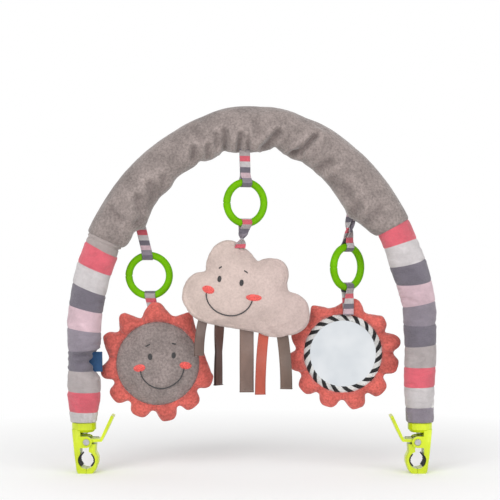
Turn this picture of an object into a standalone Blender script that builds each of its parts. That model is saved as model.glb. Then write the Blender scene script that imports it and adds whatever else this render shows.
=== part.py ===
"""Padded play arch for a stroller: a stuffed fabric bow with a spring clip on each leg and three hanging toys.

Metres, +Z up, front towards -Y. The origin lies midway between the two clip mouths.
"""

import math

import bmesh
import bpy
from mathutils import Vector

# Clearances and stock
CLEARANCE = 0.0003
CUT_OVERRUN = 0.003
SLEEVE_THICKNESS = 0.0014

# Arch centreline: a crown arc between two haunch arcs, over straight legs
HALF_SPAN = 0.176
SPRINGING_HEIGHT = 0.130
ARCH_RISE = 0.2155
HAUNCH_SWEEP_DEGREES = 55
HEM_HEIGHT = 0.039

# Stuffed fabric tube
CROWN_FABRIC_RADIUS = 0.0242
SHOULDER_FABRIC_RADIUS = 0.0216
SEAM_FABRIC_RADIUS = 0.0199
LEG_FABRIC_RADIUS = 0.0172
HEM_FABRIC_RADIUS = 0.0137
SHOULDER_DISTANCE = 0.060
LEG_DISTANCE = 0.290
HEM_TAPER_LENGTH = 0.024
PLUSH_LENGTH = 0.387
SLEEVE_SLIP = 0.005
PLEAT_DEPTH = 0.0045
PLEAT_FADE_LENGTH = 0.035
CUFF_LENGTH = 0.011
CUFF_STEP_IN = 0.0005
SAG_HALF_LENGTH = 0.036
LEFT_SAG_DISTANCE = 0.166
LEFT_SAG_DEPTH = 0.0075
RIGHT_SAG_DISTANCE = 0.151
RIGHT_SAG_DEPTH = 0.0100

# Side tab, sewn into a crease of the left leg
TAB_HEIGHT_ABOVE_ORIGIN = 0.102
TAB_REACH = 0.0075
TAB_LENGTH = 0.021
TAB_THICKNESS = 0.0016
CREASE_HALF_LENGTH = 0.020
CREASE_DEPTH = 0.0055

# Core and leg plugs
ROD_RADIUS = 0.0025
ROD_END_DEPTH = 0.010
PLUG_LENGTH = 0.022
PLUG_RIM = 0.0008

# Clips
COLLAR_RADIUS = 0.0127
COLLAR_HEIGHT = 0.0100
COLLAR_ROUND = 0.0008
COLLAR_BASE_STEP = 0.0030
SHANK_RADIUS = 0.0026
SHANK_DEPTH = 0.012
SCREW_HEAD_RADIUS = 0.0040
SCREW_HEAD_HEIGHT = 0.0020
SCREW_SLOT_WIDTH = 0.0010
MOUTH_RADIUS = 0.0070
MOUTH_INSET = 0.0035
PAD_THICKNESS = 0.0016
PAD_RIB_DEPTH = 0.0005
PAD_WIDTH = 0.018
TIP_DROP = 0.014
JAW_ROOT_REACH = 0.0120
JAW_TIP_REACH = 0.0074
JAW_BACK_THICKNESS = 0.0036
TIP_CHAMFER = 0.0030
CLIP_WIDTH = 0.024
TIP_WIDTH = 0.020
PIN_HEIGHT = 0.019
PIN_RADIUS = 0.0020
PIN_PLAY = 0.00015
PIN_HEAD_RADIUS = 0.0034
PIN_HEAD_HEIGHT = 0.0012
KNUCKLE_RADIUS = 0.0050
KNUCKLE_MARGIN = 0.0015
EAR_RADIUS = 0.0060
EAR_THICKNESS = 0.0022
PADDLE_THICKNESS = 0.0032
PADDLE_SHOULDER_REACH = 0.0150
PADDLE_MIDDLE_REACH = 0.0200
PADDLE_END_REACH = 0.0270
PADDLE_MIDDLE_RISE = 0.0120
PADDLE_END_RISE = 0.0270
PADDLE_END_WIDTH = 0.021
PADDLE_RIB_HEIGHT = 0.0008
LEVER_JAW_WIDTH = 0.020
SPRING_WIRE_RADIUS = 0.00055
SPRING_COIL_RADIUS = 0.0039
SPRING_PITCH = 0.0016
SPRING_SLOT_WIDTH = 0.0078
SPRING_TURNS = 3
SPRING_LEG_LENGTH = 0.0060
SPRING_PADDLE_REACH = 0.0120

# Rings and the ribbons that they hang on
RING_RADIUS = 0.02135
RING_WIRE_RADIUS = 0.0034
RING_SPLIT_GAP = 0.0005
RING_CLASP_LENGTH = 0.0060
RING_CLASP_STEP = 0.0003
RIBBON_WIDTH = 0.0110
RIBBON_THICKNESS = 0.0008
RIBBON_LAYER_GAP = 0.0004
RIBBON_ROOT_DEPTH = 0.0080
HANGER_ROOT_DEPTH = 0.0200
SUN_DEPTH = 0.013
CLOUD_DEPTH = -0.013
LEFT_RING_FROM_LEG = 0.0673
MIDDLE_RING_X = -0.0068
RIGHT_RING_FROM_LEG = 0.0752
LEFT_HANGER_LENGTH = 0.03405
MIDDLE_HANGER_LENGTH = 0.03582
RIGHT_HANGER_LENGTH = 0.04655
LEFT_RIBBON_LEAN = -0.0068
MIDDLE_RIBBON_LEAN = -0.0010
RIGHT_RIBBON_LEAN = 0.0020
LEFT_RING_TURN_DEGREES = 0
MIDDLE_RING_TURN_DEGREES = 26
RIGHT_RING_TURN_DEGREES = 44

# Stuffed toys
PANEL_THICKNESS = 0.0014
SEAM_WIDTH = 0.0025
SEAM_EDGE = 0.0011
CLOUD_ASIDE = -0.0006
CLOUD_RIBBON_LENGTH = 0.01820
CLOUD_WIDTH = 0.1326
CLOUD_HALF_THICKNESS = 0.0170
SQUEAKER_RADIUS = 0.0110
SQUEAKER_HEIGHT = 0.0090
RAIN_THICKNESS = 0.0008
RAIN_WAVE = 0.0015
RAIN_LENGTH = 0.062
FACE_SUN_ASIDE = 0.0094
FACE_SUN_RIBBON_LENGTH = 0.00735
FACE_RADIUS = 0.0430
FACE_HALF_THICKNESS = 0.0150
FACE_RAY_TIP = 0.0640
FACE_RAY_VALLEY = 0.0515
MIRROR_SUN_ASIDE = -0.0048
MIRROR_SUN_RIBBON_LENGTH = 0.00925
MIRROR_RADIUS = 0.0368
MIRROR_VIEW_RADIUS = 0.0350
MIRROR_THICKNESS = 0.0012
BINDING_RADIUS = 0.0415
BINDING_DEPTH = 0.0046
BINDING_LIP = 0.0014
MIRROR_HALF_THICKNESS = 0.0130
MIRROR_RIBBON_ASIDE = 0.0040
MIRROR_RIBBON_PROUD = 0.0040
MIRROR_RAY_TIP = 0.0605
MIRROR_RAY_VALLEY = 0.0510
RAY_HALF_THICKNESS = 0.0065
RATTLE_RADIUS = 0.0090
RATTLE_HEIGHT = 0.0130

# Shares of the sizes beside them
CLOUD_LOBE_SHARES = (
    (-0.306, -0.037, 0.187),
    (-0.215, -0.050, 0.228),
    (-0.042, -0.094, 0.219),
    (0.170, -0.133, 0.222),
    (0.325, -0.186, 0.178),
    (0.200, 0.109, 0.146),
    (-0.089, 0.098, 0.233),
    (-0.124, 0.216, 0.172),
)
RAIN_STRIP_SHARES = (
    (-0.340, 0.086, 0.94),
    (-0.200, 0.060, 1.00),
    (0.014, 0.110, 1.06),
    (0.149, 0.081, 1.00),
    (0.293, 0.096, 0.92),
)
PANEL_RING_SHARES = (1, 0.92, 0.72, 0.40)
FILLING_RING_SHARES = (1, 0.80, 0.42)
RAY_RING_SHARES = (0, 0.55)
VALLEY_THICKNESS_SHARE = 0.55

# Counts
TUBE_SIDES = 12
PLEAT_COUNT = 12
RINGS_PER_PLEAT = 4
INNER_RINGS_PER_PLEAT = 2
LEG_RINGS = 10
ROD_RINGS = 18
ROD_SIDES = 8
TURNED_SIDES = 16
RING_STEPS = 24
WIRE_SIDES = 8
EYE_STEPS = 10
RIBBON_STEPS = 14
PANEL_SIDES = 36
DISC_SIDES = 28
RAY_COUNT = 10
STEPS_PER_RAY = 6
RAIN_STEPS = 6
PAD_STEPS = 12
COIL_POINTS_PER_TURN = 9
JAW_CROWN_STEPS = 6
EYE_SWEEP_DEGREES = 300
PAD_SWEEP_DEGREES = 104
FACE_RAY_TURN_DEGREES = 94
MIRROR_RAY_TURN_DEGREES = 88
SHARP_DEGREES = 35

# Worked out from the sizes above
HAUNCH_SWEEP = math.radians(HAUNCH_SWEEP_DEGREES)
CROWN_SWEEP = math.pi / 2 - HAUNCH_SWEEP
SWEEP_SLOPE = math.tan(HAUNCH_SWEEP / 2)
CROWN_RADIUS = (HALF_SPAN - ARCH_RISE * SWEEP_SLOPE) / (1 - SWEEP_SLOPE)
HAUNCH_RADIUS = HALF_SPAN + (ARCH_RISE - CROWN_RADIUS) / math.tan(HAUNCH_SWEEP)
CROWN_ARC = CROWN_RADIUS * CROWN_SWEEP
HAUNCH_ARC = HAUNCH_RADIUS * HAUNCH_SWEEP
HALF_LENGTH = CROWN_ARC + HAUNCH_ARC + SPRINGING_HEIGHT - HEM_HEIGHT
PLUSH_START = -PLUSH_LENGTH / 2 - SLEEVE_SLIP
PLUSH_END = PLUSH_LENGTH / 2 - SLEEVE_SLIP
CUFF_START = PLUSH_START - CLEARANCE - CUFF_LENGTH
CORE_HALF_LENGTH = HALF_LENGTH - PLUG_LENGTH - CLEARANCE
JAW_SEAT_RADIUS = MOUTH_RADIUS + PAD_THICKNESS + CLEARANCE
COLLAR_TOP = HEM_HEIGHT - CLEARANCE
COLLAR_BASE = COLLAR_TOP - COLLAR_HEIGHT
KNUCKLE_WIDTH = CLIP_WIDTH - 2 * (EAR_THICKNESS + CLEARANCE)
EYE_DROP = RING_RADIUS - math.sqrt(RING_RADIUS**2 - (RIBBON_WIDTH / 2) ** 2)
FACET_DROP = RING_RADIUS * (1 - math.cos(math.pi / RING_STEPS))
EYE_RADIUS = RING_WIRE_RADIUS + EYE_DROP + FACET_DROP + CLEARANCE
EYE_MIDDLE_RADIUS = EYE_RADIUS / math.cos(math.radians(EYE_SWEEP_DEGREES) / EYE_STEPS / 2) + RIBBON_THICKNESS / 2
ACROSS = Vector((0, 1, 0))
UP = Vector((0, 0, 1))

# Colour, roughness and metallic value
LOOKS = {
    "rod": ((0.55, 0.57, 0.60, 1), 0.35, 1),
    "foam": ((0.86, 0.84, 0.78, 1), 0.95, 0),
    "plush grey": ((0.35, 0.30, 0.28, 1), 0.95, 0),
    "cuff grey": ((0.40, 0.34, 0.32, 1), 0.85, 0),
    "stripes left": ((0.75, 0.16, 0.20, 1), 0.80, 0),
    "stripes right": ((0.66, 0.62, 0.62, 1), 0.80, 0),
    "navy": ((0.03, 0.10, 0.24, 1), 0.70, 0),
    "white plastic": ((0.82, 0.82, 0.80, 1), 0.45, 0),
    "lime plastic": ((0.49, 0.62, 0.01, 1), 0.35, 0),
    "green plastic": ((0.22, 0.58, 0.01, 1), 0.30, 0),
    "steel": ((0.60, 0.60, 0.62, 1), 0.30, 1),
    "rubber": ((0.06, 0.06, 0.06, 1), 0.80, 0),
    "ribbon": ((0.60, 0.45, 0.50, 1), 0.75, 0),
    "pale pink": ((0.76, 0.60, 0.56, 1), 0.95, 0),
    "coral": ((0.72, 0.17, 0.13, 1), 0.90, 0),
    "strip grey": ((0.40, 0.38, 0.38, 1), 0.70, 0),
    "strip brown": ((0.12, 0.07, 0.06, 1), 0.70, 0),
    "mirror film": ((0.85, 0.86, 0.88, 1), 0.08, 1),
    "binding": ((0.40, 0.40, 0.40, 1), 0.80, 0),
    "wadding": ((0.90, 0.90, 0.88, 1), 1.00, 0),
}


class Shape:
    """Points and faces of a solid while it is being built."""

    def __init__(self):
        self.points = []
        self.faces = []

    def add_ring(self, points):
        first = len(self.points)
        self.points.extend(points)
        return list(range(first, len(self.points)))

    def join(self, ring, other):
        """Triangles between two closed rings, with the same diagonal throughout."""
        count = len(ring)
        for step in range(count):
            after = (step + 1) % count
            self.faces.append((ring[step], ring[after], other[after]))
            self.faces.append((ring[step], other[after], other[step]))

    def cap(self, ring):
        self.faces.append(tuple(ring))

    def fan(self, ring, apex):
        for step, corner in enumerate(ring):
            self.faces.append((corner, ring[(step + 1) % len(ring)], apex))

    def loft(self, rings, capped=True):
        """Skin over a row of rings, with a flat cap at each end."""
        placed = [self.add_ring(ring) for ring in rings]
        for ring, other in zip(placed, placed[1:]):
            self.join(ring, other)
        if capped:
            self.cap(placed[0])
            self.cap(placed[-1])
        return placed


def clear_scene():
    for item in list(bpy.data.objects):
        bpy.data.objects.remove(item, do_unlink=True)


def make(name, shape, look):
    """Object with its own material, built from a shape whose faces are then turned outwards."""
    mesh = bpy.data.meshes.new(name)
    mesh.from_pydata([tuple(point) for point in shape.points], [], shape.faces)
    work = bmesh.new()
    work.from_mesh(mesh)
    bmesh.ops.recalc_face_normals(work, faces=work.faces)
    work.to_mesh(mesh)
    work.free()
    mesh.shade_smooth()
    mesh.set_sharp_from_angle(angle=math.radians(SHARP_DEGREES))
    item = bpy.data.objects.new(name, mesh)
    bpy.context.scene.collection.objects.link(item)
    paint(item, look)
    return item


def paint(item, look):
    colour, roughness, metallic = LOOKS[look]
    material = bpy.data.materials.new(item.name)
    material.use_nodes = True
    shader = material.node_tree.nodes["Principled BSDF"]
    shader.inputs["Base Color"].default_value = colour
    shader.inputs["Roughness"].default_value = roughness
    shader.inputs["Metallic"].default_value = metallic
    item.data.materials.append(material)


def make_cutter(name, shape):
    item = make(name, shape, "rubber")
    item.hide_render = True
    item.display_type = "WIRE"
    return item


def combine(item, other, operation):
    """Boolean modifier: DIFFERENCE cuts the other solid away, UNION fuses it on."""
    modifier = item.modifiers.new(f"{operation.lower()} {other.name}", "BOOLEAN")
    modifier.operation = operation
    modifier.solver = "EXACT"
    modifier.object = other


def make_pivot(name, place):
    """Empty on a joint's axis, which carries the pieces that move with the joint."""
    pivot = bpy.data.objects.new(name, None)
    pivot.location = place
    bpy.context.scene.collection.objects.link(pivot)
    return pivot


def hang_on(pivot, items):
    for item in items:
        item.parent = pivot
        item.location = -pivot.location


def turned(shape, profile, place, sides):
    """Solid turned from a profile of (radius, distance along the axis) points."""
    rings = []
    for radius, along in profile:
        angles = [math.tau * step / sides for step in range(sides)]
        rings.append([place(radius * math.cos(a), radius * math.sin(a), along) for a in angles])
    return shape.loft(rings)


def extruded(shape, outline, near, far, place):
    """Solid between two copies of an outline."""
    shape.loft([[place(across, near, up) for across, up in outline], [place(across, far, up) for across, up in outline]])


def interpolate(value, stations, results):
    """Straight-line reading of a table whose stations rise."""
    if value <= stations[0]:
        return results[0]
    for index in range(1, len(stations)):
        if value <= stations[index]:
            share = (value - stations[index - 1]) / (stations[index] - stations[index - 1])
            return results[index - 1] + share * (results[index] - results[index - 1])
    return results[-1]


def swell(distance, middle, half_length):
    """Smooth bump of height 1 at the middle, and 0 past half a length on either side."""
    share = abs(distance - middle) / half_length
    return math.cos(share * math.pi / 2) ** 2 if share < 1 else 0


def arch_frame(distance):
    """Centreline point and outward normal at a distance from the crown, minus towards the left leg."""
    side = math.copysign(1, distance)
    along = abs(distance)
    crown_centre = SPRINGING_HEIGHT + ARCH_RISE - CROWN_RADIUS
    if along <= CROWN_ARC:
        angle = along / CROWN_RADIUS
        normal = Vector((side * math.sin(angle), 0, math.cos(angle)))
        return Vector((0, 0, crown_centre)) + CROWN_RADIUS * normal, normal
    if along <= CROWN_ARC + HAUNCH_ARC:
        angle = CROWN_SWEEP + (along - CROWN_ARC) / HAUNCH_RADIUS
        normal = Vector((side * math.sin(angle), 0, math.cos(angle)))
        centre = Vector((side * (HALF_SPAN - HAUNCH_RADIUS), 0, SPRINGING_HEIGHT))
        return centre + HAUNCH_RADIUS * normal, normal
    drop = along - CROWN_ARC - HAUNCH_ARC
    return Vector((side * HALF_SPAN, 0, SPRINGING_HEIGHT - drop)), Vector((side, 0, 0))


def stuffing_radius(distance, angle):
    """Radius of the fabric's base surface. Angle 0 points out of the arch and half a turn points into it."""
    stations = (0, SHOULDER_DISTANCE, PLUSH_LENGTH / 2, LEG_DISTANCE, HALF_LENGTH - HEM_TAPER_LENGTH, HALF_LENGTH)
    radii = (
        CROWN_FABRIC_RADIUS,
        SHOULDER_FABRIC_RADIUS,
        SEAM_FABRIC_RADIUS,
        LEG_FABRIC_RADIUS,
        LEG_FABRIC_RADIUS,
        HEM_FABRIC_RADIUS,
    )
    tab_distance = -(CROWN_ARC + HAUNCH_ARC + SPRINGING_HEIGHT - TAB_HEIGHT_ABOVE_ORIGIN)
    change = LEFT_SAG_DEPTH * swell(distance, -LEFT_SAG_DISTANCE, SAG_HALF_LENGTH)
    change += RIGHT_SAG_DEPTH * swell(distance, RIGHT_SAG_DISTANCE, SAG_HALF_LENGTH)
    change -= CREASE_DEPTH * swell(distance, tab_distance, CREASE_HALF_LENGTH)
    change -= PLEAT_DEPTH * pleat_window(distance)
    return interpolate(abs(distance), stations, radii) + inner_weight(angle) * change


def inner_weight(angle):
    """1 on the arch's inner side, falling smoothly to 0 on its outer side."""
    return ((1 - math.cos(angle)) / 2) ** 2


def pleat_window(distance):
    """1 along the plush sleeve, fading to 0 at both of its ends."""
    from_end = PLUSH_LENGTH / 2 - abs(distance + SLEEVE_SLIP)
    return min(max(from_end / PLEAT_FADE_LENGTH, 0), 1)


def plush_radius(distance, angle):
    """Outside of the plush sleeve, gathered into pleats on the arch's inner side."""
    turn = math.tau * PLEAT_COUNT * (distance - PLUSH_START) / PLUSH_LENGTH
    wave = (1 + math.cos(turn)) / 2
    gather = PLEAT_DEPTH * pleat_window(distance) * wave
    return stuffing_radius(distance, angle) + inner_weight(angle) * gather


def tube_ring(distance, radius_at, sides=TUBE_SIDES):
    centre, outward = arch_frame(distance)
    ring = []
    for step in range(sides):
        angle = math.tau * step / sides
        reach = radius_at(distance, angle)
        ring.append(centre + reach * math.cos(angle) * outward + reach * math.sin(angle) * ACROSS)
    return ring


def spaced(start, end, count):
    return [start + (end - start) * step / count for step in range(count + 1)]


def leg_stations(seam):
    """Distances of a striped sleeve's rings, in rising order: its hem, its hem's taper and on to its seam."""
    side = math.copysign(1, seam)
    upper = spaced(side * (HALF_LENGTH - HEM_TAPER_LENGTH), seam, LEG_RINGS)
    return sorted([side * HALF_LENGTH] + upper)


def plush_stations(rings_per_pleat):
    return spaced(PLUSH_START, PLUSH_END, PLEAT_COUNT * rings_per_pleat)


def sleeve(name, outside, outer_stations, inner_stations, look):
    """Fabric tube round the core."""
    inside = lambda distance, angle: stuffing_radius(distance, angle) - SLEEVE_THICKNESS
    shape = Shape()
    outer = shape.loft([tube_ring(distance, outside) for distance in outer_stations], capped=False)
    inner = shape.loft([tube_ring(distance, inside) for distance in inner_stations], capped=False)
    shape.join(outer[0], inner[0])
    shape.join(outer[-1], inner[-1])
    return make(name, shape, look)


def build_arch():
    inner_stations = plush_stations(INNER_RINGS_PER_PLEAT)
    sleeve("plush_sleeve", plush_radius, plush_stations(RINGS_PER_PLEAT), inner_stations, "plush grey")
    cuff_radius = lambda distance, angle: stuffing_radius(distance, angle) - CUFF_STEP_IN
    cuff_stations = spaced(CUFF_START, PLUSH_START - CLEARANCE, 2)
    sleeve("plush_cuff_left", cuff_radius, cuff_stations, cuff_stations, "cuff grey")
    for label, seam in (("left", CUFF_START - CLEARANCE), ("right", PLUSH_END + CLEARANCE)):
        stations = leg_stations(seam)
        sleeve(f"striped_sleeve_{label}", stuffing_radius, stations, stations, f"stripes {label}")
    build_core()
    build_side_tab()


def build_core():
    """Foam tube round a bendable rod, which reaches into the plug in each leg."""
    core_radius = lambda distance, angle: stuffing_radius(distance, angle) - SLEEVE_THICKNESS - CLEARANCE
    bore_radius = lambda distance, angle: ROD_RADIUS + CLEARANCE
    rod_radius = lambda distance, angle: ROD_RADIUS
    seams = leg_stations(CUFF_START) + plush_stations(INNER_RINGS_PER_PLEAT) + leg_stations(PLUSH_END)
    inside = sorted({distance for distance in seams if abs(distance) < CORE_HALF_LENGTH})
    stations = [-CORE_HALF_LENGTH] + inside + [CORE_HALF_LENGTH]
    rod_stations = spaced(-CORE_HALF_LENGTH, CORE_HALF_LENGTH, ROD_RINGS)
    shape = Shape()
    outer = shape.loft([tube_ring(distance, core_radius) for distance in stations], capped=False)
    bore = shape.loft([tube_ring(distance, bore_radius) for distance in rod_stations], capped=False)
    shape.join(outer[0], bore[0])
    shape.join(outer[-1], bore[-1])
    make("foam_core", shape, "foam")
    rod_end = CORE_HALF_LENGTH + ROD_END_DEPTH
    rod = Shape()
    all_stations = [-rod_end] + rod_stations + [rod_end]
    rod.loft([tube_ring(distance, rod_radius, ROD_SIDES) for distance in all_stations])
    make("core_rod", rod, "rod")


def build_side_tab():
    """Folded blank tab that stands out of a crease on the inner side of the left leg."""
    tab_distance = -(CROWN_ARC + HAUNCH_ARC + SPRINGING_HEIGHT - TAB_HEIGHT_ABOVE_ORIGIN)
    surface = -HALF_SPAN + stuffing_radius(tab_distance, math.pi)
    near = -HALF_SPAN + LEG_FABRIC_RADIUS / 3
    far = surface + TAB_REACH
    bottom = TAB_HEIGHT_ABOVE_ORIGIN - TAB_LENGTH / 2
    half = TAB_THICKNESS / 2
    outline = [(near, -half), (far, -half), (far, half), (near, half)]
    shape = Shape()
    shape.loft([[Vector((x, y, height)) for x, y in outline] for height in (bottom, bottom + TAB_LENGTH)])
    tab = make("side_tab", shape, "navy")
    radius = lambda distance, angle: stuffing_radius(distance, angle) + CLEARANCE
    leg = Shape()
    leg.loft([tube_ring(distance, radius) for distance in leg_stations(CUFF_START - CLEARANCE)])
    combine(tab, make_cutter("leg_clearance", leg), "DIFFERENCE")


def leg_place(side):
    """Places a clip's (out from the leg, across, up) coordinates in the world."""
    return lambda out, across, up: Vector((side * (HALF_SPAN + out), across, up))


def circle_points(middle, height, radius, start_degrees, end_degrees, count):
    """Points of an arc round a clip's cross axis."""
    points = []
    for degrees in spaced(start_degrees, end_degrees, count):
        angle = math.radians(degrees)
        points.append((middle + radius * math.cos(angle), height + radius * math.sin(angle)))
    return points


def cross_cylinder(middle, height, radius, half_width, place, sides):
    """Cylinder along a clip's cross axis."""
    shape = Shape()
    outline = circle_points(middle, height, radius, 0, 360, sides)[:-1]
    extruded(shape, outline, -half_width, half_width, place)
    return shape


def build_plug(side, label):
    """Moulded plug glued into the hem, with a socket for the rod above and one for the screw below."""
    place = leg_place(side)
    top = HEM_HEIGHT + PLUG_LENGTH
    seat = SLEEVE_THICKNESS + CLEARANCE
    low_radius = stuffing_radius(HALF_LENGTH, 0) - seat
    high_radius = stuffing_radius(HALF_LENGTH - PLUG_LENGTH, 0) - seat
    shape = Shape()
    profile = [(low_radius, HEM_HEIGHT), (high_radius, top - PLUG_RIM), (high_radius - PLUG_RIM, top)]
    turned(shape, profile, place, TUBE_SIDES)
    plug = make(f"leg_plug_{label}", shape, "white plastic")
    rod_socket = Shape()
    socket_floor = top - ROD_END_DEPTH - 2 * CLEARANCE
    socket_radius = ROD_RADIUS + CLEARANCE
    turned(rod_socket, [(socket_radius, socket_floor), (socket_radius, top + CUT_OVERRUN)], place, TURNED_SIDES)
    combine(plug, make_cutter(f"rod_socket_{label}", rod_socket), "DIFFERENCE")
    screw_socket = Shape()
    screw_radius = SHANK_RADIUS + CLEARANCE
    socket_top = HEM_HEIGHT - CLEARANCE + SHANK_DEPTH - COLLAR_HEIGHT / 4
    turned(screw_socket, [(screw_radius, HEM_HEIGHT - CUT_OVERRUN), (screw_radius, socket_top)], place, TURNED_SIDES)
    combine(plug, make_cutter(f"screw_socket_{label}", screw_socket), "DIFFERENCE")


def jaw_section(inner, outer, half_width, height, place):
    """Level section of a jaw: a flat face towards the mouth and a crowned back."""
    ring = [place(inner, -half_width, height), place(inner, half_width, height)]
    for step in range(JAW_CROWN_STEPS + 1):
        angle = math.pi / 2 - math.pi * step / JAW_CROWN_STEPS
        share = math.sqrt(abs(math.cos(angle)))
        across = half_width * math.copysign(math.sqrt(abs(math.sin(angle))), math.sin(angle))
        depth = (outer - inner) * (1 + share) / 2
        ring.append(place(inner + depth, across, height))
    return ring


def outer_reach(height):
    """Outside of the fixed jaw, leaning in from the collar to the tip."""
    share = (height + TIP_DROP) / (COLLAR_BASE + TIP_DROP)
    return JAW_TIP_REACH + share * (JAW_ROOT_REACH - JAW_TIP_REACH)


def fixed_jaw(place):
    mouth = -MOUTH_INSET
    tip_face = mouth + CLEARANCE / 2
    web_face = mouth + KNUCKLE_RADIUS + KNUCKLE_MARGIN
    step = JAW_SEAT_RADIUS / 3
    half, tip_half = CLIP_WIDTH / 2, TIP_WIDTH / 2
    shape = Shape()
    levels = (
        (-TIP_DROP, tip_face, tip_half, TIP_CHAMFER / 3),
        (-TIP_DROP + TIP_CHAMFER, tip_face, tip_half, 0),
        (-step, tip_face, (half + tip_half) / 2, 0),
        (step, web_face, half, 0),
        (PIN_HEIGHT, web_face, half, 0),
        (COLLAR_BASE + COLLAR_BASE_STEP, web_face, half - COLLAR_BASE_STEP / 2, 0),
    )
    sections = []
    for height, inner, width, inset in levels:
        sections.append(jaw_section(inner, outer_reach(height) - inset, width, height, place))
    shape.loft(sections)
    return shape


def build_clip_body(side, label):
    """Fixed jaw, swivel collar and the two ears that carry the pin, moulded in one."""
    place = leg_place(side)
    mouth = -MOUTH_INSET
    body = make(f"clip_body_{label}", fixed_jaw(place), "lime plastic")
    collar = Shape()
    profile = [
        (COLLAR_RADIUS - COLLAR_BASE_STEP, COLLAR_BASE),
        (COLLAR_RADIUS, COLLAR_BASE + COLLAR_BASE_STEP),
        (COLLAR_RADIUS, COLLAR_TOP - COLLAR_ROUND),
        (COLLAR_RADIUS - COLLAR_ROUND, COLLAR_TOP),
    ]
    turned(collar, profile, place, TURNED_SIDES)
    combine(body, make_cutter(f"collar_{label}", collar), "UNION")
    for name, sign in (("front", -1), ("rear", 1)):
        outline = circle_points(mouth, PIN_HEIGHT, EAR_RADIUS, 100, 260, 6)
        web = mouth + KNUCKLE_RADIUS + 2 * KNUCKLE_MARGIN
        outline += [(web, PIN_HEIGHT - EAR_RADIUS), (web, PIN_HEIGHT + EAR_RADIUS)]
        ear = Shape()
        outer_face = sign * (CLIP_WIDTH / 2 - CLEARANCE / 3)
        extruded(ear, outline, outer_face - sign * (EAR_THICKNESS - CLEARANCE / 3), outer_face, place)
        combine(body, make_cutter(f"ear_{name}_{label}", ear), "UNION")
    seat = cross_cylinder(mouth, 0, JAW_SEAT_RADIUS, CLIP_WIDTH, place, 2 * TURNED_SIDES)
    combine(body, make_cutter(f"jaw_seat_{label}", seat), "DIFFERENCE")
    hole = cross_cylinder(mouth, PIN_HEIGHT, PIN_RADIUS + PIN_PLAY, CLIP_WIDTH, place, TURNED_SIDES)
    combine(body, make_cutter(f"pin_hole_{label}", hole), "DIFFERENCE")
    bore = Shape()
    bore_radius = SHANK_RADIUS + CLEARANCE
    pocket_radius = SCREW_HEAD_RADIUS + 2 * CLEARANCE
    profile = [
        (pocket_radius, COLLAR_BASE - SCREW_HEAD_HEIGHT - 3 * CLEARANCE),
        (pocket_radius, COLLAR_BASE),
        (bore_radius, COLLAR_BASE),
        (bore_radius, COLLAR_TOP + CUT_OVERRUN),
    ]
    turned(bore, profile, place, TURNED_SIDES)
    combine(body, make_cutter(f"swivel_bore_{label}", bore), "DIFFERENCE")
    return body


def paddle_line():
    """Middle of the finger paddle, from the knuckle outwards, as (in from the mouth, above the pin) points."""
    return (
        (KNUCKLE_RADIUS / 2, KNUCKLE_RADIUS / 4),
        (PADDLE_SHOULDER_REACH, PADDLE_THICKNESS / 2),
        (PADDLE_MIDDLE_REACH, PADDLE_MIDDLE_RISE),
        (PADDLE_END_REACH, PADDLE_END_RISE),
    )


def build_lever(side, label):
    """Moving jaw, split knuckle and finger paddle, moulded in one."""
    place = leg_place(side)
    mouth = -MOUTH_INSET
    tip_face = mouth - CLEARANCE / 2
    back = mouth - JAW_SEAT_RADIUS - JAW_BACK_THICKNESS
    half, tip_half, neck_half = LEVER_JAW_WIDTH / 2, TIP_WIDTH / 2, KNUCKLE_WIDTH / 2
    jaw = Shape()
    levels = (
        (-TIP_DROP, tip_face, back + 2 * TIP_CHAMFER, tip_half),
        (-TIP_DROP + TIP_CHAMFER, tip_face, back + TIP_CHAMFER, tip_half),
        (-JAW_SEAT_RADIUS / 3, tip_face, back, half),
        (JAW_SEAT_RADIUS / 3, tip_face, back, half),
        (JAW_SEAT_RADIUS, mouth - KNUCKLE_RADIUS / 2, back + TIP_CHAMFER, half),
        (PIN_HEIGHT - KNUCKLE_RADIUS / 2, mouth - KNUCKLE_RADIUS / 2, mouth - 2 * KNUCKLE_RADIUS, neck_half),
    )
    jaw.loft([jaw_section(inner, outer, width, height, place) for height, inner, outer, width in levels])
    lever = make(f"clip_lever_{label}", jaw, "lime plastic")
    knuckle = cross_cylinder(mouth, PIN_HEIGHT, KNUCKLE_RADIUS, neck_half, place, TURNED_SIDES)
    combine(lever, make_cutter(f"knuckle_{label}", knuckle), "UNION")
    combine(lever, make_cutter(f"paddle_{label}", paddle(place)), "UNION")
    seat = cross_cylinder(mouth, 0, JAW_SEAT_RADIUS, CLIP_WIDTH, place, 2 * TURNED_SIDES)
    combine(lever, make_cutter(f"lever_seat_{label}", seat), "DIFFERENCE")
    hole = cross_cylinder(mouth, PIN_HEIGHT, PIN_RADIUS + PIN_PLAY, CLIP_WIDTH, place, TURNED_SIDES)
    combine(lever, make_cutter(f"lever_hole_{label}", hole), "DIFFERENCE")
    slot = Shape()
    slot_half = SPRING_SLOT_WIDTH / 2
    slot_outline = circle_points(mouth, PIN_HEIGHT, KNUCKLE_RADIUS + CLEARANCE, 0, 360, TURNED_SIDES)[:-1]
    extruded(slot, slot_outline, -slot_half, slot_half, place)
    combine(lever, make_cutter(f"spring_slot_{label}", slot), "DIFFERENCE")
    return lever


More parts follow.
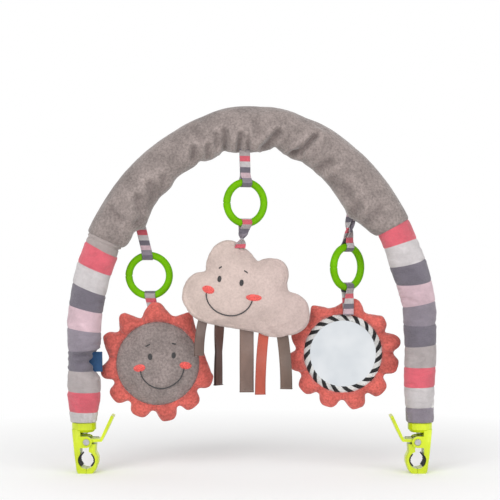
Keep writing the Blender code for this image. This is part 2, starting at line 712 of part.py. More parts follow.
def paddle(place):
    """Finger paddle: a bent plate that widens outwards, with grip ribs on its outer face."""
    line = paddle_line()
    widths = (KNUCKLE_WIDTH / 2, KNUCKLE_WIDTH / 2, KNUCKLE_WIDTH / 2, PADDLE_END_WIDTH / 2)
    shape = Shape()
    sections = []
    for index, (reach, rise) in enumerate(line):
        before = line[max(index - 1, 0)]
        after = line[min(index + 1, len(line) - 1)]
        run = Vector((after[0] - before[0], after[1] - before[1])).normalized()
        half = PADDLE_THICKNESS / 2
        corners = []
        for across, lift in ((-1, -1), (-1, 1), (1, 1), (1, -1)):
            inward = reach - run.y * half * lift
            up = rise + run.x * half * lift
            corners.append(place(-MOUTH_INSET - inward, across * widths[index], PIN_HEIGHT + up))
        sections.append(corners)
    shape.loft(sections)
    return shape


def build_pin(side, label):
    """Rivet through the ears and the lever's knuckle, with a head at each end."""
    place = leg_place(side)
    half = CLIP_WIDTH / 2 + CLEARANCE
    shape = Shape()
    profile = [
        (PIN_HEAD_RADIUS - PIN_HEAD_HEIGHT / 2, -half - PIN_HEAD_HEIGHT),
        (PIN_HEAD_RADIUS, -half - PIN_HEAD_HEIGHT / 2),
        (PIN_HEAD_RADIUS, -half),
        (PIN_RADIUS, -half),
        (PIN_RADIUS, half),
        (PIN_HEAD_RADIUS, half),
        (PIN_HEAD_RADIUS, half + PIN_HEAD_HEIGHT / 2),
        (PIN_HEAD_RADIUS - PIN_HEAD_HEIGHT / 2, half + PIN_HEAD_HEIGHT),
    ]
    along_pin = lambda x, y, along: place(x - MOUTH_INSET, along, y + PIN_HEIGHT)
    turned(shape, profile, along_pin, TURNED_SIDES)
    return make(f"clip_pin_{label}", shape, "steel")


def build_pads(side, label):
    """Two ribbed grip pads that line the jaws' seats."""
    place = leg_place(side)
    pads = []
    for name, middle_degrees in (("outer", 0), ("inner", 180)):
        start = middle_degrees - PAD_SWEEP_DEGREES / 2
        end = middle_degrees + PAD_SWEEP_DEGREES / 2
        outline = circle_points(-MOUTH_INSET, 0, MOUTH_RADIUS + PAD_THICKNESS, start, end, PAD_STEPS)
        ribs = []
        for step, degrees in enumerate(spaced(end, start, PAD_STEPS)):
            radius = MOUTH_RADIUS + PAD_RIB_DEPTH * (step % 2)
            angle = math.radians(degrees)
            ribs.append((-MOUTH_INSET + radius * math.cos(angle), radius * math.sin(angle)))
        shape = Shape()
        extruded(shape, outline + ribs, -PAD_WIDTH / 2, PAD_WIDTH / 2, place)
        pads.append(make(f"clip_pad_{name}_{label}", shape, "rubber"))
    return pads


def build_screw(side, label):
    """Shouldered screw that holds the collar to the plug and lets it turn."""
    place = leg_place(side)
    head_top = COLLAR_BASE - CLEARANCE
    shank_top = head_top + SHANK_DEPTH + COLLAR_HEIGHT / 2
    shape = Shape()
    profile = [
        (SCREW_HEAD_RADIUS - SCREW_HEAD_HEIGHT / 4, head_top - SCREW_HEAD_HEIGHT),
        (SCREW_HEAD_RADIUS, head_top - SCREW_HEAD_HEIGHT / 2),
        (SCREW_HEAD_RADIUS, head_top),
        (SHANK_RADIUS, head_top),
        (SHANK_RADIUS, shank_top - SHANK_RADIUS / 2),
        (SHANK_RADIUS / 2, shank_top),
    ]
    turned(shape, profile, place, TURNED_SIDES)
    screw = make(f"swivel_screw_{label}", shape, "steel")
    slot = Shape()
    half = SCREW_SLOT_WIDTH / 2
    outline = [(-SCREW_HEAD_RADIUS * 2, -half), (SCREW_HEAD_RADIUS * 2, -half), (SCREW_HEAD_RADIUS * 2, half)]
    outline.append((-SCREW_HEAD_RADIUS * 2, half))
    bottom = head_top - SCREW_HEAD_HEIGHT
    slot.loft([[place(x, y, z) for x, y in outline] for z in (bottom - half, bottom + SCREW_HEAD_HEIGHT / 3)])
    combine(screw, make_cutter(f"driver_slot_{label}", slot), "DIFFERENCE")
    return screw


def spring_route(place):
    """Torsion coil round the pin: one leg against the fixed jaw's web, the other over the paddle."""
    half = SPRING_PITCH * SPRING_TURNS / 2
    radius = SPRING_COIL_RADIUS
    web = KNUCKLE_RADIUS + KNUCKLE_MARGIN - SPRING_WIRE_RADIUS - CLEARANCE
    leg_tip = Vector((web, SPRING_LEG_LENGTH))
    start = math.atan2(leg_tip.y, leg_tip.x) + math.acos(radius / leg_tip.length)
    end = math.tau * SPRING_TURNS + math.pi / 2
    count = math.ceil((end - start) / math.tau * COIL_POINTS_PER_TURN)
    points = [(leg_tip.x, -half, leg_tip.y)]
    for step in range(count + 1):
        angle = start + (end - start) * step / count
        points.append((radius * math.cos(angle), half * (2 * step / count - 1), radius * math.sin(angle)))
    points.append((-SPRING_PADDLE_REACH, half, radius))
    return [place(out - MOUTH_INSET, across, PIN_HEIGHT + up) for out, across, up in points]


def build_spring(side, label):
    points = spring_route(leg_place(side))
    curve = bpy.data.curves.new(f"clip_spring_{label}", "CURVE")
    curve.dimensions = "3D"
    curve.bevel_depth = SPRING_WIRE_RADIUS
    curve.bevel_resolution = 1
    curve.use_fill_caps = True
    spline = curve.splines.new("POLY")
    spline.points.add(len(points) - 1)
    for point, place in zip(spline.points, points):
        point.co = (*place, 1)
    item = bpy.data.objects.new(curve.name, curve)
    bpy.context.scene.collection.objects.link(item)
    paint(item, "steel")
    apart = COIL_POINTS_PER_TURN - 1
    gaps = [(points[i] - points[j]).length for i in range(len(points)) for j in range(i + apart, len(points))]
    print(f"{item.name}: least gap to itself {(min(gaps) - 2 * SPRING_WIRE_RADIUS) * 1000:.2f} mm")
    return item


def build_clip(side, label):
    """A spring clip: its body swivels on the leg's axis and its lever turns on the pin."""
    body = build_clip_body(side, label)
    pin = build_pin(side, label)
    spring = build_spring(side, label)
    outer_pad, inner_pad = build_pads(side, label)
    lever = build_lever(side, label)
    build_screw(side, label)
    swivel = make_pivot(f"swivel_pivot_{label}", Vector((side * HALF_SPAN, 0, COLLAR_TOP)))
    hang_on(swivel, [body, pin, spring, outer_pad])
    hinge = make_pivot(f"lever_pivot_{label}", leg_place(side)(-MOUTH_INSET, 0, PIN_HEIGHT))
    hang_on(hinge, [lever, inner_pad])


def ring_frame(turn):
    """Level direction along a ring's top, and the one square to it."""
    along = Vector((math.cos(turn), math.sin(turn), 0))
    return along, Vector((-math.sin(turn), math.cos(turn), 0))


def build_ring(label, centre, turn):
    """Snap ring: a round bar bent into a circle, with its closed clasp on the left."""
    along, _ = ring_frame(turn)
    normal = along.cross(UP)
    gap_angle = RING_SPLIT_GAP / RING_RADIUS / 2
    clasp_angle = RING_CLASP_LENGTH / RING_RADIUS
    angles = spaced(math.pi + gap_angle, 3 * math.pi - gap_angle, RING_STEPS)
    shape = Shape()
    rings = []
    for angle in angles:
        outward = math.cos(angle) * along + math.sin(angle) * UP
        from_split = min(angle - math.pi, 3 * math.pi - angle)
        wire = RING_WIRE_RADIUS + (RING_CLASP_STEP if from_split < clasp_angle else 0)
        ring = []
        for step in range(WIRE_SIDES):
            around = math.tau * step / WIRE_SIDES
            ring.append(centre + (RING_RADIUS + wire * math.cos(around)) * outward + wire * math.sin(around) * normal)
        rings.append(ring)
    shape.loft(rings)
    return make(f"ring_{label}", shape, "green plastic")


def ribbon_line(length):
    """Closed line of (aside, away from the eye) points: down one layer, round the eye and up the other."""
    aside = (RIBBON_THICKNESS + RIBBON_LAYER_GAP) / 2
    radius = EYE_MIDDLE_RADIUS
    neck = 1.75 * radius
    straight = spaced(length, neck, RIBBON_STEPS)
    down = [(-aside, away) for away in straight]
    open_angle = (math.tau - math.radians(EYE_SWEEP_DEGREES)) / 2
    eye = []
    for angle in spaced(open_angle, math.tau - open_angle, EYE_STEPS):
        eye.append((-radius * math.sin(angle), radius * math.cos(angle)))
    up = [(aside, away) for away in reversed(straight)]
    return down + eye + up + [(0, length + aside)]


def ribbon_shape(eye, turn, root, root_turn):
    """Folded ribbon with an eye round a ring's bar, from the eye's centre to the root."""
    run = root - eye
    length = run.length
    sign = math.copysign(1, run.z)
    line = ribbon_line(length)
    count = len(line)
    half = RIBBON_WIDTH / 2
    edges = []
    for index, (aside, away) in enumerate(line):
        before, after = line[index - 1], line[(index + 1) % count]
        heading = Vector((after[0] - before[0], after[1] - before[1])).normalized()
        normal = Vector((heading.y, -heading.x))
        share = min(max((away - EYE_MIDDLE_RADIUS) / (length - EYE_MIDDLE_RADIUS), 0), 1)
        along, square = ring_frame(turn + share * (root_turn - turn))
        axis = eye + (run * (away / length) if away > 0 else sign * away * UP)
        section = []
        for across, depth in ((-half, -1), (half, -1), (half, 1), (-half, 1)):
            offset = depth * RIBBON_THICKNESS / 2
            lift = sign * offset * normal.y
            section.append(axis + across * along + (aside + offset * normal.x) * square + lift * UP)
        edges.append(section)
    shape = Shape()
    placed = [shape.add_ring(section) for section in edges]
    for index in range(count):
        shape.join(placed[index], placed[(index + 1) % count])
    return shape


def swollen_tube():
    """The sleeves' outside with clearance added, as a cutter for what is sewn to it."""
    radius = lambda distance, angle: plush_radius(distance, angle) + CLEARANCE
    stations = spaced(PLUSH_START, PLUSH_END, PLEAT_COUNT * RINGS_PER_PLEAT)
    shape = Shape()
    shape.loft([tube_ring(distance, radius) for distance in stations])
    return make_cutter("sleeve_clearance", shape)


def tube_underside(x, depth):
    """Height of the plush sleeve's underside at a place across and a depth, found by stepping along it."""
    best = None
    for distance in spaced(PLUSH_START, PLUSH_END, PLEAT_COUNT * RINGS_PER_PLEAT):
        centre, outward = arch_frame(distance)
        reach = plush_radius(distance, math.pi)
        inward = math.sqrt(max(reach**2 - depth**2, 0))
        point = centre - inward * outward
        if best is None or abs(point.x - x) < abs(best.x - x):
            best = point
    return best.z


def lobed_outline(angle):
    """Distance from the cloud's middle to its edge: the furthest of its round lobes in that direction."""
    reach = 0
    direction = Vector((math.cos(angle), math.sin(angle)))
    for x_share, z_share, radius_share in CLOUD_LOBE_SHARES:
        lobe = Vector((x_share, z_share)) * CLOUD_WIDTH
        along = lobe.dot(direction)
        aside = (lobe - along * direction).length
        radius = radius_share * CLOUD_WIDTH
        if aside < radius:
            reach = max(reach, along + math.sqrt(radius**2 - aside**2))
    return reach


def panel_rings(centre, outline, inset, rim, crown, direction, sides, shares=PANEL_RING_SHARES):
    """Rings of one side of a stuffed shape from its edge inwards, and its middle point."""
    rings = []
    for share in shares:
        bulge = direction * (rim + (crown - rim) * math.sqrt(1 - share**2))
        ring = []
        for step in range(sides):
            angle = math.tau * step / sides
            reach = (outline(angle) - inset) * share
            ring.append(centre + Vector((reach * math.cos(angle), bulge, reach * math.sin(angle))))
        rings.append(ring)
    return rings, centre + Vector((0, direction * crown, 0))


def add_side(shape, rings, middle):
    placed = shape.loft(rings, capped=False)
    apex = shape.add_ring([middle])[0]
    shape.fan(placed[-1], apex)
    return placed[0]


def build_panel(name, centre, outline, crown, direction, sides, look):
    """Sewn panel of a stuffed toy: a domed fabric shell with a flat seam allowance."""
    shape = Shape()
    outer, outer_middle = panel_rings(centre, outline, 0, SEAM_EDGE, crown, direction, sides)
    rim = CLEARANCE / 2
    hollow = crown - PANEL_THICKNESS
    shares = FILLING_RING_SHARES
    inner, inner_middle = panel_rings(centre, outline, SEAM_WIDTH, rim, hollow, direction, sides, shares)
    outer_edge = add_side(shape, outer, outer_middle)
    inner_edge = add_side(shape, inner, inner_middle)
    drop = Vector((0, direction * (rim - SEAM_EDGE), 0))
    seam = shape.add_ring([point + drop for point in outer[0]])
    shape.join(outer_edge, seam)
    shape.join(seam, inner_edge)
    return make(name, shape, look)


def build_filling(name, centre, outline, front_crown, back_crown, sides):
    """Wadding that fills a stuffed toy between its panels."""
    shape = Shape()
    inset = SEAM_WIDTH + CLEARANCE
    take = PANEL_THICKNESS + CLEARANCE
    shares = FILLING_RING_SHARES
    front, front_middle = panel_rings(centre, outline, inset, 0, front_crown - take, -1, sides, shares)
    back, back_middle = panel_rings(centre, outline, inset, 0, back_crown - take, 1, sides, shares)
    edge = shape.add_ring(front[0])
    for rings, middle in ((front[1:], front_middle), (back[1:], back_middle)):
        inner_edge = add_side(shape, rings, middle)
        shape.join(edge, inner_edge)
    return make(name, shape, "wadding")


def depth_place(centre):
    """Places turned profiles on an axis that runs front to back through a toy."""
    return lambda x, z, along: centre + Vector((x, along, z))


def cut_pocket(filling, name, centre, radius, floor, mouth):
    """Pocket in the wadding, open to the back."""
    pocket = Shape()
    turned(pocket, [(radius, floor), (radius, mouth)], depth_place(centre), TURNED_SIDES)
    combine(filling, make_cutter(name, pocket), "DIFFERENCE")


def build_capsule(name, centre, radius, start, height, look):
    """Rounded plastic capsule, for the squeaker and the rattle."""
    shape = Shape()
    corner = radius / 4
    profile = [
        (radius - corner, start),
        (radius, start + corner),
        (radius, start + height - corner),
        (radius - corner, start + height),
    ]
    turned(shape, profile, depth_place(centre), TURNED_SIDES)
    return make(name, shape, look)


def ray_reach(angle, tip, valley, turn, roundness):
    """Outline of a ring of rays: a tip at the turn angle, and the others evenly round from it."""
    place = (angle - turn) * RAY_COUNT / math.tau
    peak = abs(2 * (place - math.floor(place)) - 1)
    return valley + (tip - valley) * peak**roundness, peak


def rays_shape(centre, inner, tip, valley, turn, roundness, grow=0):
    """Ring of stuffed rays that swell at the seam and taper to their edge."""
    sides = RAY_COUNT * STEPS_PER_RAY
    angles = [turn + math.tau * step / sides for step in range(sides)]
    shape = Shape()
    surfaces = []
    for direction in (-1, 1):
        rings = []
        for share in RAY_RING_SHARES:
            ring = []
            for angle in angles:
                reach, peak = ray_reach(angle, tip + grow, valley + grow, turn, roundness)
                radius = inner - grow + share * (reach - inner + grow)
                full = VALLEY_THICKNESS_SHARE + (1 - VALLEY_THICKNESS_SHARE) * peak
                depth = direction * (grow + RAY_HALF_THICKNESS * full * math.sqrt(1 - share**2))
                ring.append(centre + Vector((radius * math.cos(angle), depth, radius * math.sin(angle))))
            rings.append(ring)
        surfaces.append(shape.loft(rings, capped=False))
    edge = []
    for angle in angles:
        reach, _ = ray_reach(angle, tip + grow, valley + grow, turn, roundness)
        edge.append(centre + Vector((reach * math.cos(angle), 0, reach * math.sin(angle))))
    edge_ring = shape.add_ring(edge)
    shape.join(surfaces[0][-1], edge_ring)
    shape.join(edge_ring, surfaces[1][-1])
    shape.join(surfaces[0][0], surfaces[1][0])
    return shape


def cloud_cutter(centre):
    """The cloud with clearance added, as a cutter for what is sewn into its seam."""
    shape = Shape()
    grown = lambda angle: lobed_outline(angle) + CLEARANCE
    crown = CLOUD_HALF_THICKNESS + CLEARANCE
    front, front_middle = panel_rings(centre, grown, 0, SEAM_EDGE + CLEARANCE, crown, -1, PANEL_SIDES)
    back, back_middle = panel_rings(centre, grown, 0, SEAM_EDGE + CLEARANCE, crown, 1, PANEL_SIDES)
    shape.join(add_side(shape, front, front_middle), add_side(shape, back, back_middle))
    return make_cutter("cloud_clearance", shape)


def build_rain(centre, cutter):
    """Loose fabric strips, sewn into the cloud's lower seam and hanging in a slight wave."""
    strips = []
    looks = ("strip grey", "strip brown", "strip grey", "coral", "strip brown")
    for number, ((x_share, width_share, length_share), look) in enumerate(zip(RAIN_STRIP_SHARES, looks), 1):
        x = centre.x + x_share * CLOUD_WIDTH
        half = width_share * CLOUD_WIDTH / 2
        angle = math.atan2(-CLOUD_WIDTH / 4, x - centre.x)
        top = centre.z - CLOUD_WIDTH / 5
        bottom = centre.z + lobed_outline(angle) * math.sin(angle) - length_share * RAIN_LENGTH
        shape = Shape()
        sections = []
        for height in spaced(top, bottom, RAIN_STEPS):
            wave = RAIN_WAVE * math.sin(math.tau * (top - height) / RAIN_LENGTH)
            near = centre.y + wave - RAIN_THICKNESS / 2
            far = centre.y + wave + RAIN_THICKNESS / 2
            sections.append([Vector(p) for p in (
                (x - half, near, height), (x + half, near, height), (x + half, far, height), (x - half, far, height)
            )])
        shape.loft(sections)
        strip = make(f"rain_strip_{number}", shape, look)
        combine(strip, cutter, "DIFFERENCE")
        strips.append(strip)
    return strips


def build_cloud(eye, turn):
    """Stuffed cloud with a squeaker, on the middle ring."""
    lobe_x, lobe_z, lobe_radius = CLOUD_LOBE_SHARES[-1]
    top = (lobe_z + lobe_radius) * CLOUD_WIDTH
    centre = eye + Vector((CLOUD_ASIDE, 0, -CLOUD_RIBBON_LENGTH - top))
    crown = CLOUD_HALF_THICKNESS
    front = build_panel("cloud_front_panel", centre, lobed_outline, crown, -1, PANEL_SIDES, "pale pink")
    back = build_panel("cloud_back_panel", centre, lobed_outline, crown, 1, PANEL_SIDES, "pale pink")
    filling = build_filling("cloud_filling", centre, lobed_outline, crown, crown, PANEL_SIDES)
    floor = -SQUEAKER_HEIGHT / 2
    cut_pocket(filling, "squeaker_pocket", centre, SQUEAKER_RADIUS + CLEARANCE, floor - CLEARANCE, crown)
    squeaker = build_capsule("cloud_squeaker", centre, SQUEAKER_RADIUS, floor, SQUEAKER_HEIGHT, "white plastic")
    cutter = cloud_cutter(centre)
    aside = lobe_radius / 2
    edge = lobe_z + math.sqrt(lobe_radius**2 - aside**2)
    root = centre + Vector((lobe_x + aside, 0, edge)) * CLOUD_WIDTH - RIBBON_ROOT_DEPTH * UP
    ribbon = make("toy_ribbon_middle", ribbon_shape(eye, turn, root, 0), "ribbon")
    combine(ribbon, cutter, "DIFFERENCE")
    return [front, back, filling, squeaker, ribbon] + build_rain(centre, cutter)


def build_face_sun(eye, turn):
    """Stuffed sun with a plain grey face and a rattle, on the left ring."""
    centre = eye + Vector((FACE_SUN_ASIDE, 0, -FACE_SUN_RIBBON_LENGTH - FACE_RAY_TIP))
    outline = lambda angle: FACE_RADIUS
    crown = FACE_HALF_THICKNESS
    front = build_panel("face_sun_front_panel", centre, outline, crown, -1, DISC_SIDES, "plush grey")
    back = build_panel("face_sun_back_panel", centre, outline, crown, 1, DISC_SIDES, "coral")
    filling = build_filling("face_sun_filling", centre, outline, crown, crown, DISC_SIDES)
    floor = -RATTLE_HEIGHT / 2
    cut_pocket(filling, "rattle_pocket", centre, RATTLE_RADIUS + CLEARANCE, floor - CLEARANCE, crown)
    rattle = build_capsule("face_sun_rattle", centre, RATTLE_RADIUS, floor, RATTLE_HEIGHT, "white plastic")
    ray_turn = math.radians(FACE_RAY_TURN_DEGREES)
    sizes = (centre, FACE_RADIUS + CLEARANCE, FACE_RAY_TIP, FACE_RAY_VALLEY, ray_turn, 1.15)
    rays = make("face_sun_rays", rays_shape(*sizes), "coral")
    reach = FACE_RAY_TIP - RIBBON_ROOT_DEPTH / 2
    root = centre + Vector((reach * math.cos(ray_turn), 0, reach * math.sin(ray_turn)))
    ribbon = sun_ribbon("toy_ribbon_left", eye, turn, root, sizes)
    return [front, back, filling, rattle, rays, ribbon]


def sun_ribbon(name, eye, turn, root, sizes):
    """Ribbon between a ring and a sun's top ray."""
    ribbon = make(name, ribbon_shape(eye, turn, root, 0), "ribbon")
    cutter = make_cutter(f"{name}_clearance", rays_shape(*sizes, grow=CLEARANCE))
    combine(ribbon, cutter, "DIFFERENCE")
    return ribbon


def build_mirror_sun(eye, turn):
    """Stuffed sun that carries a bound mirror, on the right ring."""
    centre = eye + Vector((MIRROR_SUN_ASIDE, 0, -MIRROR_SUN_RIBBON_LENGTH - MIRROR_RAY_TIP))
    outline = lambda angle: BINDING_RADIUS
    place = depth_place(centre)
    back = build_panel("mirror_sun_back_panel", centre, outline, MIRROR_HALF_THICKNESS, 1, DISC_SIDES, "coral")
    front_face = -BINDING_DEPTH - CLEARANCE
    binding = Shape()
    inner_seat = MIRROR_RADIUS + CLEARANCE
    lip = front_face + BINDING_LIP
    outer_rim = BINDING_RADIUS
    round_in = BINDING_LIP
    profile = (
        (MIRROR_VIEW_RADIUS, front_face + BINDING_LIP / 2),
        (MIRROR_VIEW_RADIUS + round_in, front_face),
        (outer_rim - round_in, front_face),
        (outer_rim, front_face + round_in),
        (outer_rim, -CLEARANCE),
        (inner_seat, -CLEARANCE),
        (inner_seat, lip),
        (MIRROR_VIEW_RADIUS, lip),
    )
    rings = []
    for step in range(DISC_SIDES):
        angle = math.tau * step / DISC_SIDES
        rings.append([place(r * math.cos(angle), r * math.sin(angle), along) for r, along in profile])
    placed = [binding.add_ring(ring) for ring in rings]
    for index, ring in enumerate(placed):
        binding.join(ring, placed[(index + 1) % len(placed)])
    mirror_front = lip + CLEARANCE
    mirror = Shape()
    mirror_profile = [(MIRROR_RADIUS, mirror_front), (MIRROR_RADIUS, mirror_front + MIRROR_THICKNESS)]
    turned(mirror, mirror_profile, place, DISC_SIDES)
    filling = Shape()
    filling_front = mirror_front + MIRROR_THICKNESS + CLEARANCE
    filling_rim = MIRROR_RADIUS - CLEARANCE
    crown = MIRROR_HALF_THICKNESS - PANEL_THICKNESS - CLEARANCE
    profile = [(filling_rim, filling_front), (filling_rim, 0)]
    for share in FILLING_RING_SHARES[1:]:
        profile.append((filling_rim * share, crown * math.sqrt(1 - share**2)))
    turned(filling, profile, place, DISC_SIDES)
    ray_turn = math.radians(MIRROR_RAY_TURN_DEGREES)
    sizes = (centre, BINDING_RADIUS + CLEARANCE, MIRROR_RAY_TIP, MIRROR_RAY_VALLEY, ray_turn, 0.6)
    rays = make("mirror_sun_rays", rays_shape(*sizes), "coral")
    proud = RAY_HALF_THICKNESS + MIRROR_RIBBON_PROUD
    root = centre + Vector((MIRROR_RIBBON_ASIDE, -proud, BINDING_RADIUS + CLEARANCE))
    pieces = [
        back,
        rays,
        make("mirror_binding", binding, "binding"),
        make("mirror_disc", mirror, "mirror film"),
        make("mirror_sun_filling", filling, "wadding"),
        sun_ribbon("toy_ribbon_right", eye, turn, root, sizes),
    ]
    return pieces


def build_chain(label, place, turn_degrees, lean, length, build_toy, cutter):
    """Hanger ribbon sewn under the arch, the ring in its eye, and the toy on the ring."""
    turn = math.radians(turn_degrees)
    x, depth = place
    underside = tube_underside(x + lean, depth)
    top = Vector((x, depth, underside - length))
    centre = top - RING_RADIUS * UP
    bottom = centre - RING_RADIUS * UP
    root = top + Vector((lean, 0, length)) * (1 + HANGER_ROOT_DEPTH / length)
    hanger = make(f"hanger_ribbon_{label}", ribbon_shape(top, turn, root, 0), "ribbon")
    combine(hanger, cutter, "DIFFERENCE")
    ring_pivot = make_pivot(f"ring_pivot_{label}", top)
    hang_on(ring_pivot, [build_ring(label, centre, turn)])
    toy_pivot = make_pivot(f"toy_pivot_{label}", bottom)
    hang_on(toy_pivot, build_toy(bottom, turn))


def build_chains():
    """The three hanging toys, the outer two at a set distance from their leg."""
    cutter = swollen_tube()
    left = (LEFT_RING_FROM_LEG - HALF_SPAN, SUN_DEPTH)
    middle = (MIDDLE_RING_X, CLOUD_DEPTH)
    right = (HALF_SPAN - RIGHT_RING_FROM_LEG, SUN_DEPTH)
    chains = (
        ("left", left, LEFT_RING_TURN_DEGREES, LEFT_RIBBON_LEAN, LEFT_HANGER_LENGTH, build_face_sun),
        ("middle", middle, MIDDLE_RING_TURN_DEGREES, MIDDLE_RIBBON_LEAN, MIDDLE_HANGER_LENGTH, build_cloud),
        ("right", right, RIGHT_RING_TURN_DEGREES, RIGHT_RIBBON_LEAN, RIGHT_HANGER_LENGTH, build_mirror_sun),
    )
    for sizes in chains:
        build_chain(*sizes, cutter)


clear_scene()
build_arch()
for leg_side, leg_label in ((-1, "left"), (1, "right")):
    build_plug(leg_side, leg_label)
    build_clip(leg_side, leg_label)
build_chains()
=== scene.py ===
"""Looks of the play arch: plush, striped jersey, woven ribbon, embroidery and moulded plastic."""

import math
import random

import bmesh
import bpy
import numpy as np
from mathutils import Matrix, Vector, noise
from mathutils.bvhtree import BVHTree


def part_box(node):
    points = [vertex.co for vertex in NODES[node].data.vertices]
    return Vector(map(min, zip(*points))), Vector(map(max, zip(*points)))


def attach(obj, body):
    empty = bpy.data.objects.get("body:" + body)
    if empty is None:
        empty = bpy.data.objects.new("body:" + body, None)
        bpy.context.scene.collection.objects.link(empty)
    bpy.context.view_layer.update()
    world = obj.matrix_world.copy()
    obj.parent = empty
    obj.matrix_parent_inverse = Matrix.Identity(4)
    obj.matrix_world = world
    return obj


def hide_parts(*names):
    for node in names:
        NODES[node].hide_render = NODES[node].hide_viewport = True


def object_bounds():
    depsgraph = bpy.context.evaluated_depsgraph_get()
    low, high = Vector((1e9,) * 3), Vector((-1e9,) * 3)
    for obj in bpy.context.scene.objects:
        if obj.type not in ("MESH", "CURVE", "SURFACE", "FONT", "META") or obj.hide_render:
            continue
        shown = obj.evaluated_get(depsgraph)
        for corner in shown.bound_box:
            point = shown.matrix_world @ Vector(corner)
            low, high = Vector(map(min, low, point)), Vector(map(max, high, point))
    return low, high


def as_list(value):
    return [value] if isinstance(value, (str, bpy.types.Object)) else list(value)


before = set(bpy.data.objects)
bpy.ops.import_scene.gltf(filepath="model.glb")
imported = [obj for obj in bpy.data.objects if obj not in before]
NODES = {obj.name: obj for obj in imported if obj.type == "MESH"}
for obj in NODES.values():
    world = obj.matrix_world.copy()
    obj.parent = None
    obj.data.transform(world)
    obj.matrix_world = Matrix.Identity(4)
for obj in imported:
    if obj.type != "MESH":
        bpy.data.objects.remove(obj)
CAD_BOX = [list(corner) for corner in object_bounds()]
SIDES = ("left", "right")
AWAY = Vector((0, 1, 0))
UP = Vector((0, 0, 1))

# The arch's curve of three arcs over straight legs, in metres as the frame has it
HALF_SPAN = 0.176
SPRINGING_HEIGHT = 0.130
ARCH_RISE = 0.2155
HAUNCH_SWEEP = math.radians(55)
HEM_HEIGHT = 0.039
CROWN_SWEEP = math.pi / 2 - HAUNCH_SWEEP
SLOPE = math.tan(HAUNCH_SWEEP / 2)
CROWN_RADIUS = (HALF_SPAN - ARCH_RISE * SLOPE) / (1 - SLOPE)
HAUNCH_RADIUS = HALF_SPAN + (ARCH_RISE - CROWN_RADIUS) / math.tan(HAUNCH_SWEEP)
CROWN_ARC = CROWN_RADIUS * CROWN_SWEEP
HAUNCH_ARC = HAUNCH_RADIUS * HAUNCH_SWEEP
HALF_LENGTH = CROWN_ARC + HAUNCH_ARC + SPRINGING_HEIGHT - HEM_HEIGHT

# Plain radii of the sleeves at distances from the crown; a signed distance is minus towards the left leg
PLUSH_LENGTH = 0.387
PLUSH_END = PLUSH_LENGTH / 2 - 0.005
CUFF_FOLD = -0.2030
RADIUS_STATIONS = (0, 0.060, PLUSH_LENGTH / 2, 0.290, HALF_LENGTH - 0.024, HALF_LENGTH)
RADII = (0.0242, 0.0216, 0.0199, 0.0172, 0.0172, 0.0137)
TAB_HEIGHT = 0.102
TAB_DISTANCE = -(CROWN_ARC + HAUNCH_ARC + SPRINGING_HEIGHT - TAB_HEIGHT)

# Middles of the toys, and of the rings: across, depth, up, and the degrees a ring is turned by
SUN_DEPTH = 0.013
CLOUD_DEPTH = -0.013
CLOUD = Vector((-0.0074, CLOUD_DEPTH, 0.1771))
CLOUD_WIDTH = 0.1326
FACE_SUN = Vector((-0.0993, SUN_DEPTH, 0.0994))
MIRROR_SUN = Vector((0.0960, SUN_DEPTH, 0.1099))
RINGS = {
    "left": (-0.1087, SUN_DEPTH, 0.1921, 0),
    "middle": (-0.0068, CLOUD_DEPTH, 0.2681, 26),
    "right": (0.1008, SUN_DEPTH, 0.2010, 44),
}
RING_RADIUS = 0.02135
WIRE_RADIUS = 0.0039

# Ribbons: the radius at which they pass round a ring's bar, and how far each layer lies from their middle
RIBBON_WIDTH = 0.0110
EYE_RADIUS = 0.00495
LAYER_ASIDE = 0.0006
# Points across a ribbon, as shares of its half width
ACROSS = [step / 4 - 1 for step in range(9)]

# Hangers: the sewn-in end, how far it runs on into the plush, how far aside it passes the bar, and its form
HANGERS = {
    "left": ((-0.1186, 0.013, 0.2475), 0.011, -0.0017, {"coral": 0.2404}),
    "middle": ((-0.0078, -0.006, 0.3253), 0.005, 0.0, {"coral": 0.3172, "pitch": 0.0060}),
    "right": (
        (0.1060, 0.0085, 0.2689), 0.011, 0.0,
        {"coral": 0.2322, "pitch": 0.0059, "twist": 140, "done": 0.62, "spread": 0.0013, "cup": 0.0024},
    ),
}
# Ribbons of the toys: the body, where one is sewn to it, how far aside it passes the bar, and its form
TOY_STRAPS = {
    "left": ("face_sun", FACE_SUN + Vector((-0.0058, 0, 0.0590)), 0.0010, {"coral": 0.1692}),
    "middle": (
        "cloud", CLOUD + Vector((-0.0051, -0.0048, 0.0440)), 0.0,
        {"coral": 0.2252, "layer": 1, "twist": -180},
    ),
    "right": (
        "mirror_sun", MIRROR_SUN + Vector((0.0052, -0.0095, 0.0412)), 0.0,
        {"coral": 0.1736, "spread": 0.0026, "bow_out": 0.0045},
    ),
}
# Strips under the cloud: place as a share of its width, width, turn in degrees, lean to the side, colour, slot.
# Each colour is darkened with painted shade and a painted brown reflection.
STRIPS = (
    (-0.319, 0.0102, 22, -0.0055, (106, 87, 80), "strip_grey"),
    (-0.200, 0.0101, 53, -0.0012, (68, 38, 28), "strip_brown"),
    (0.014, 0.0146, 0.0, 0.0, (112, 90, 81), "strip_grey"),
    (0.149, 0.0108, 8, -0.0038, (175, 76, 56), "strip_coral"),
    (0.293, 0.0122, -8, 0.0042, (101, 82, 72), "strip_brown"),
)
FIRST_STRIP_END = 0.1101

# The camera, and how a pixel of the photograph becomes a place on the plane of the arch
CAMERA = (-0.0021, -1.5, 0.2191)
PIXEL = 0.00105
MIDDLE_COLUMN = 252
FOOT_ROW = 472
FOOT_HEIGHT = -0.014

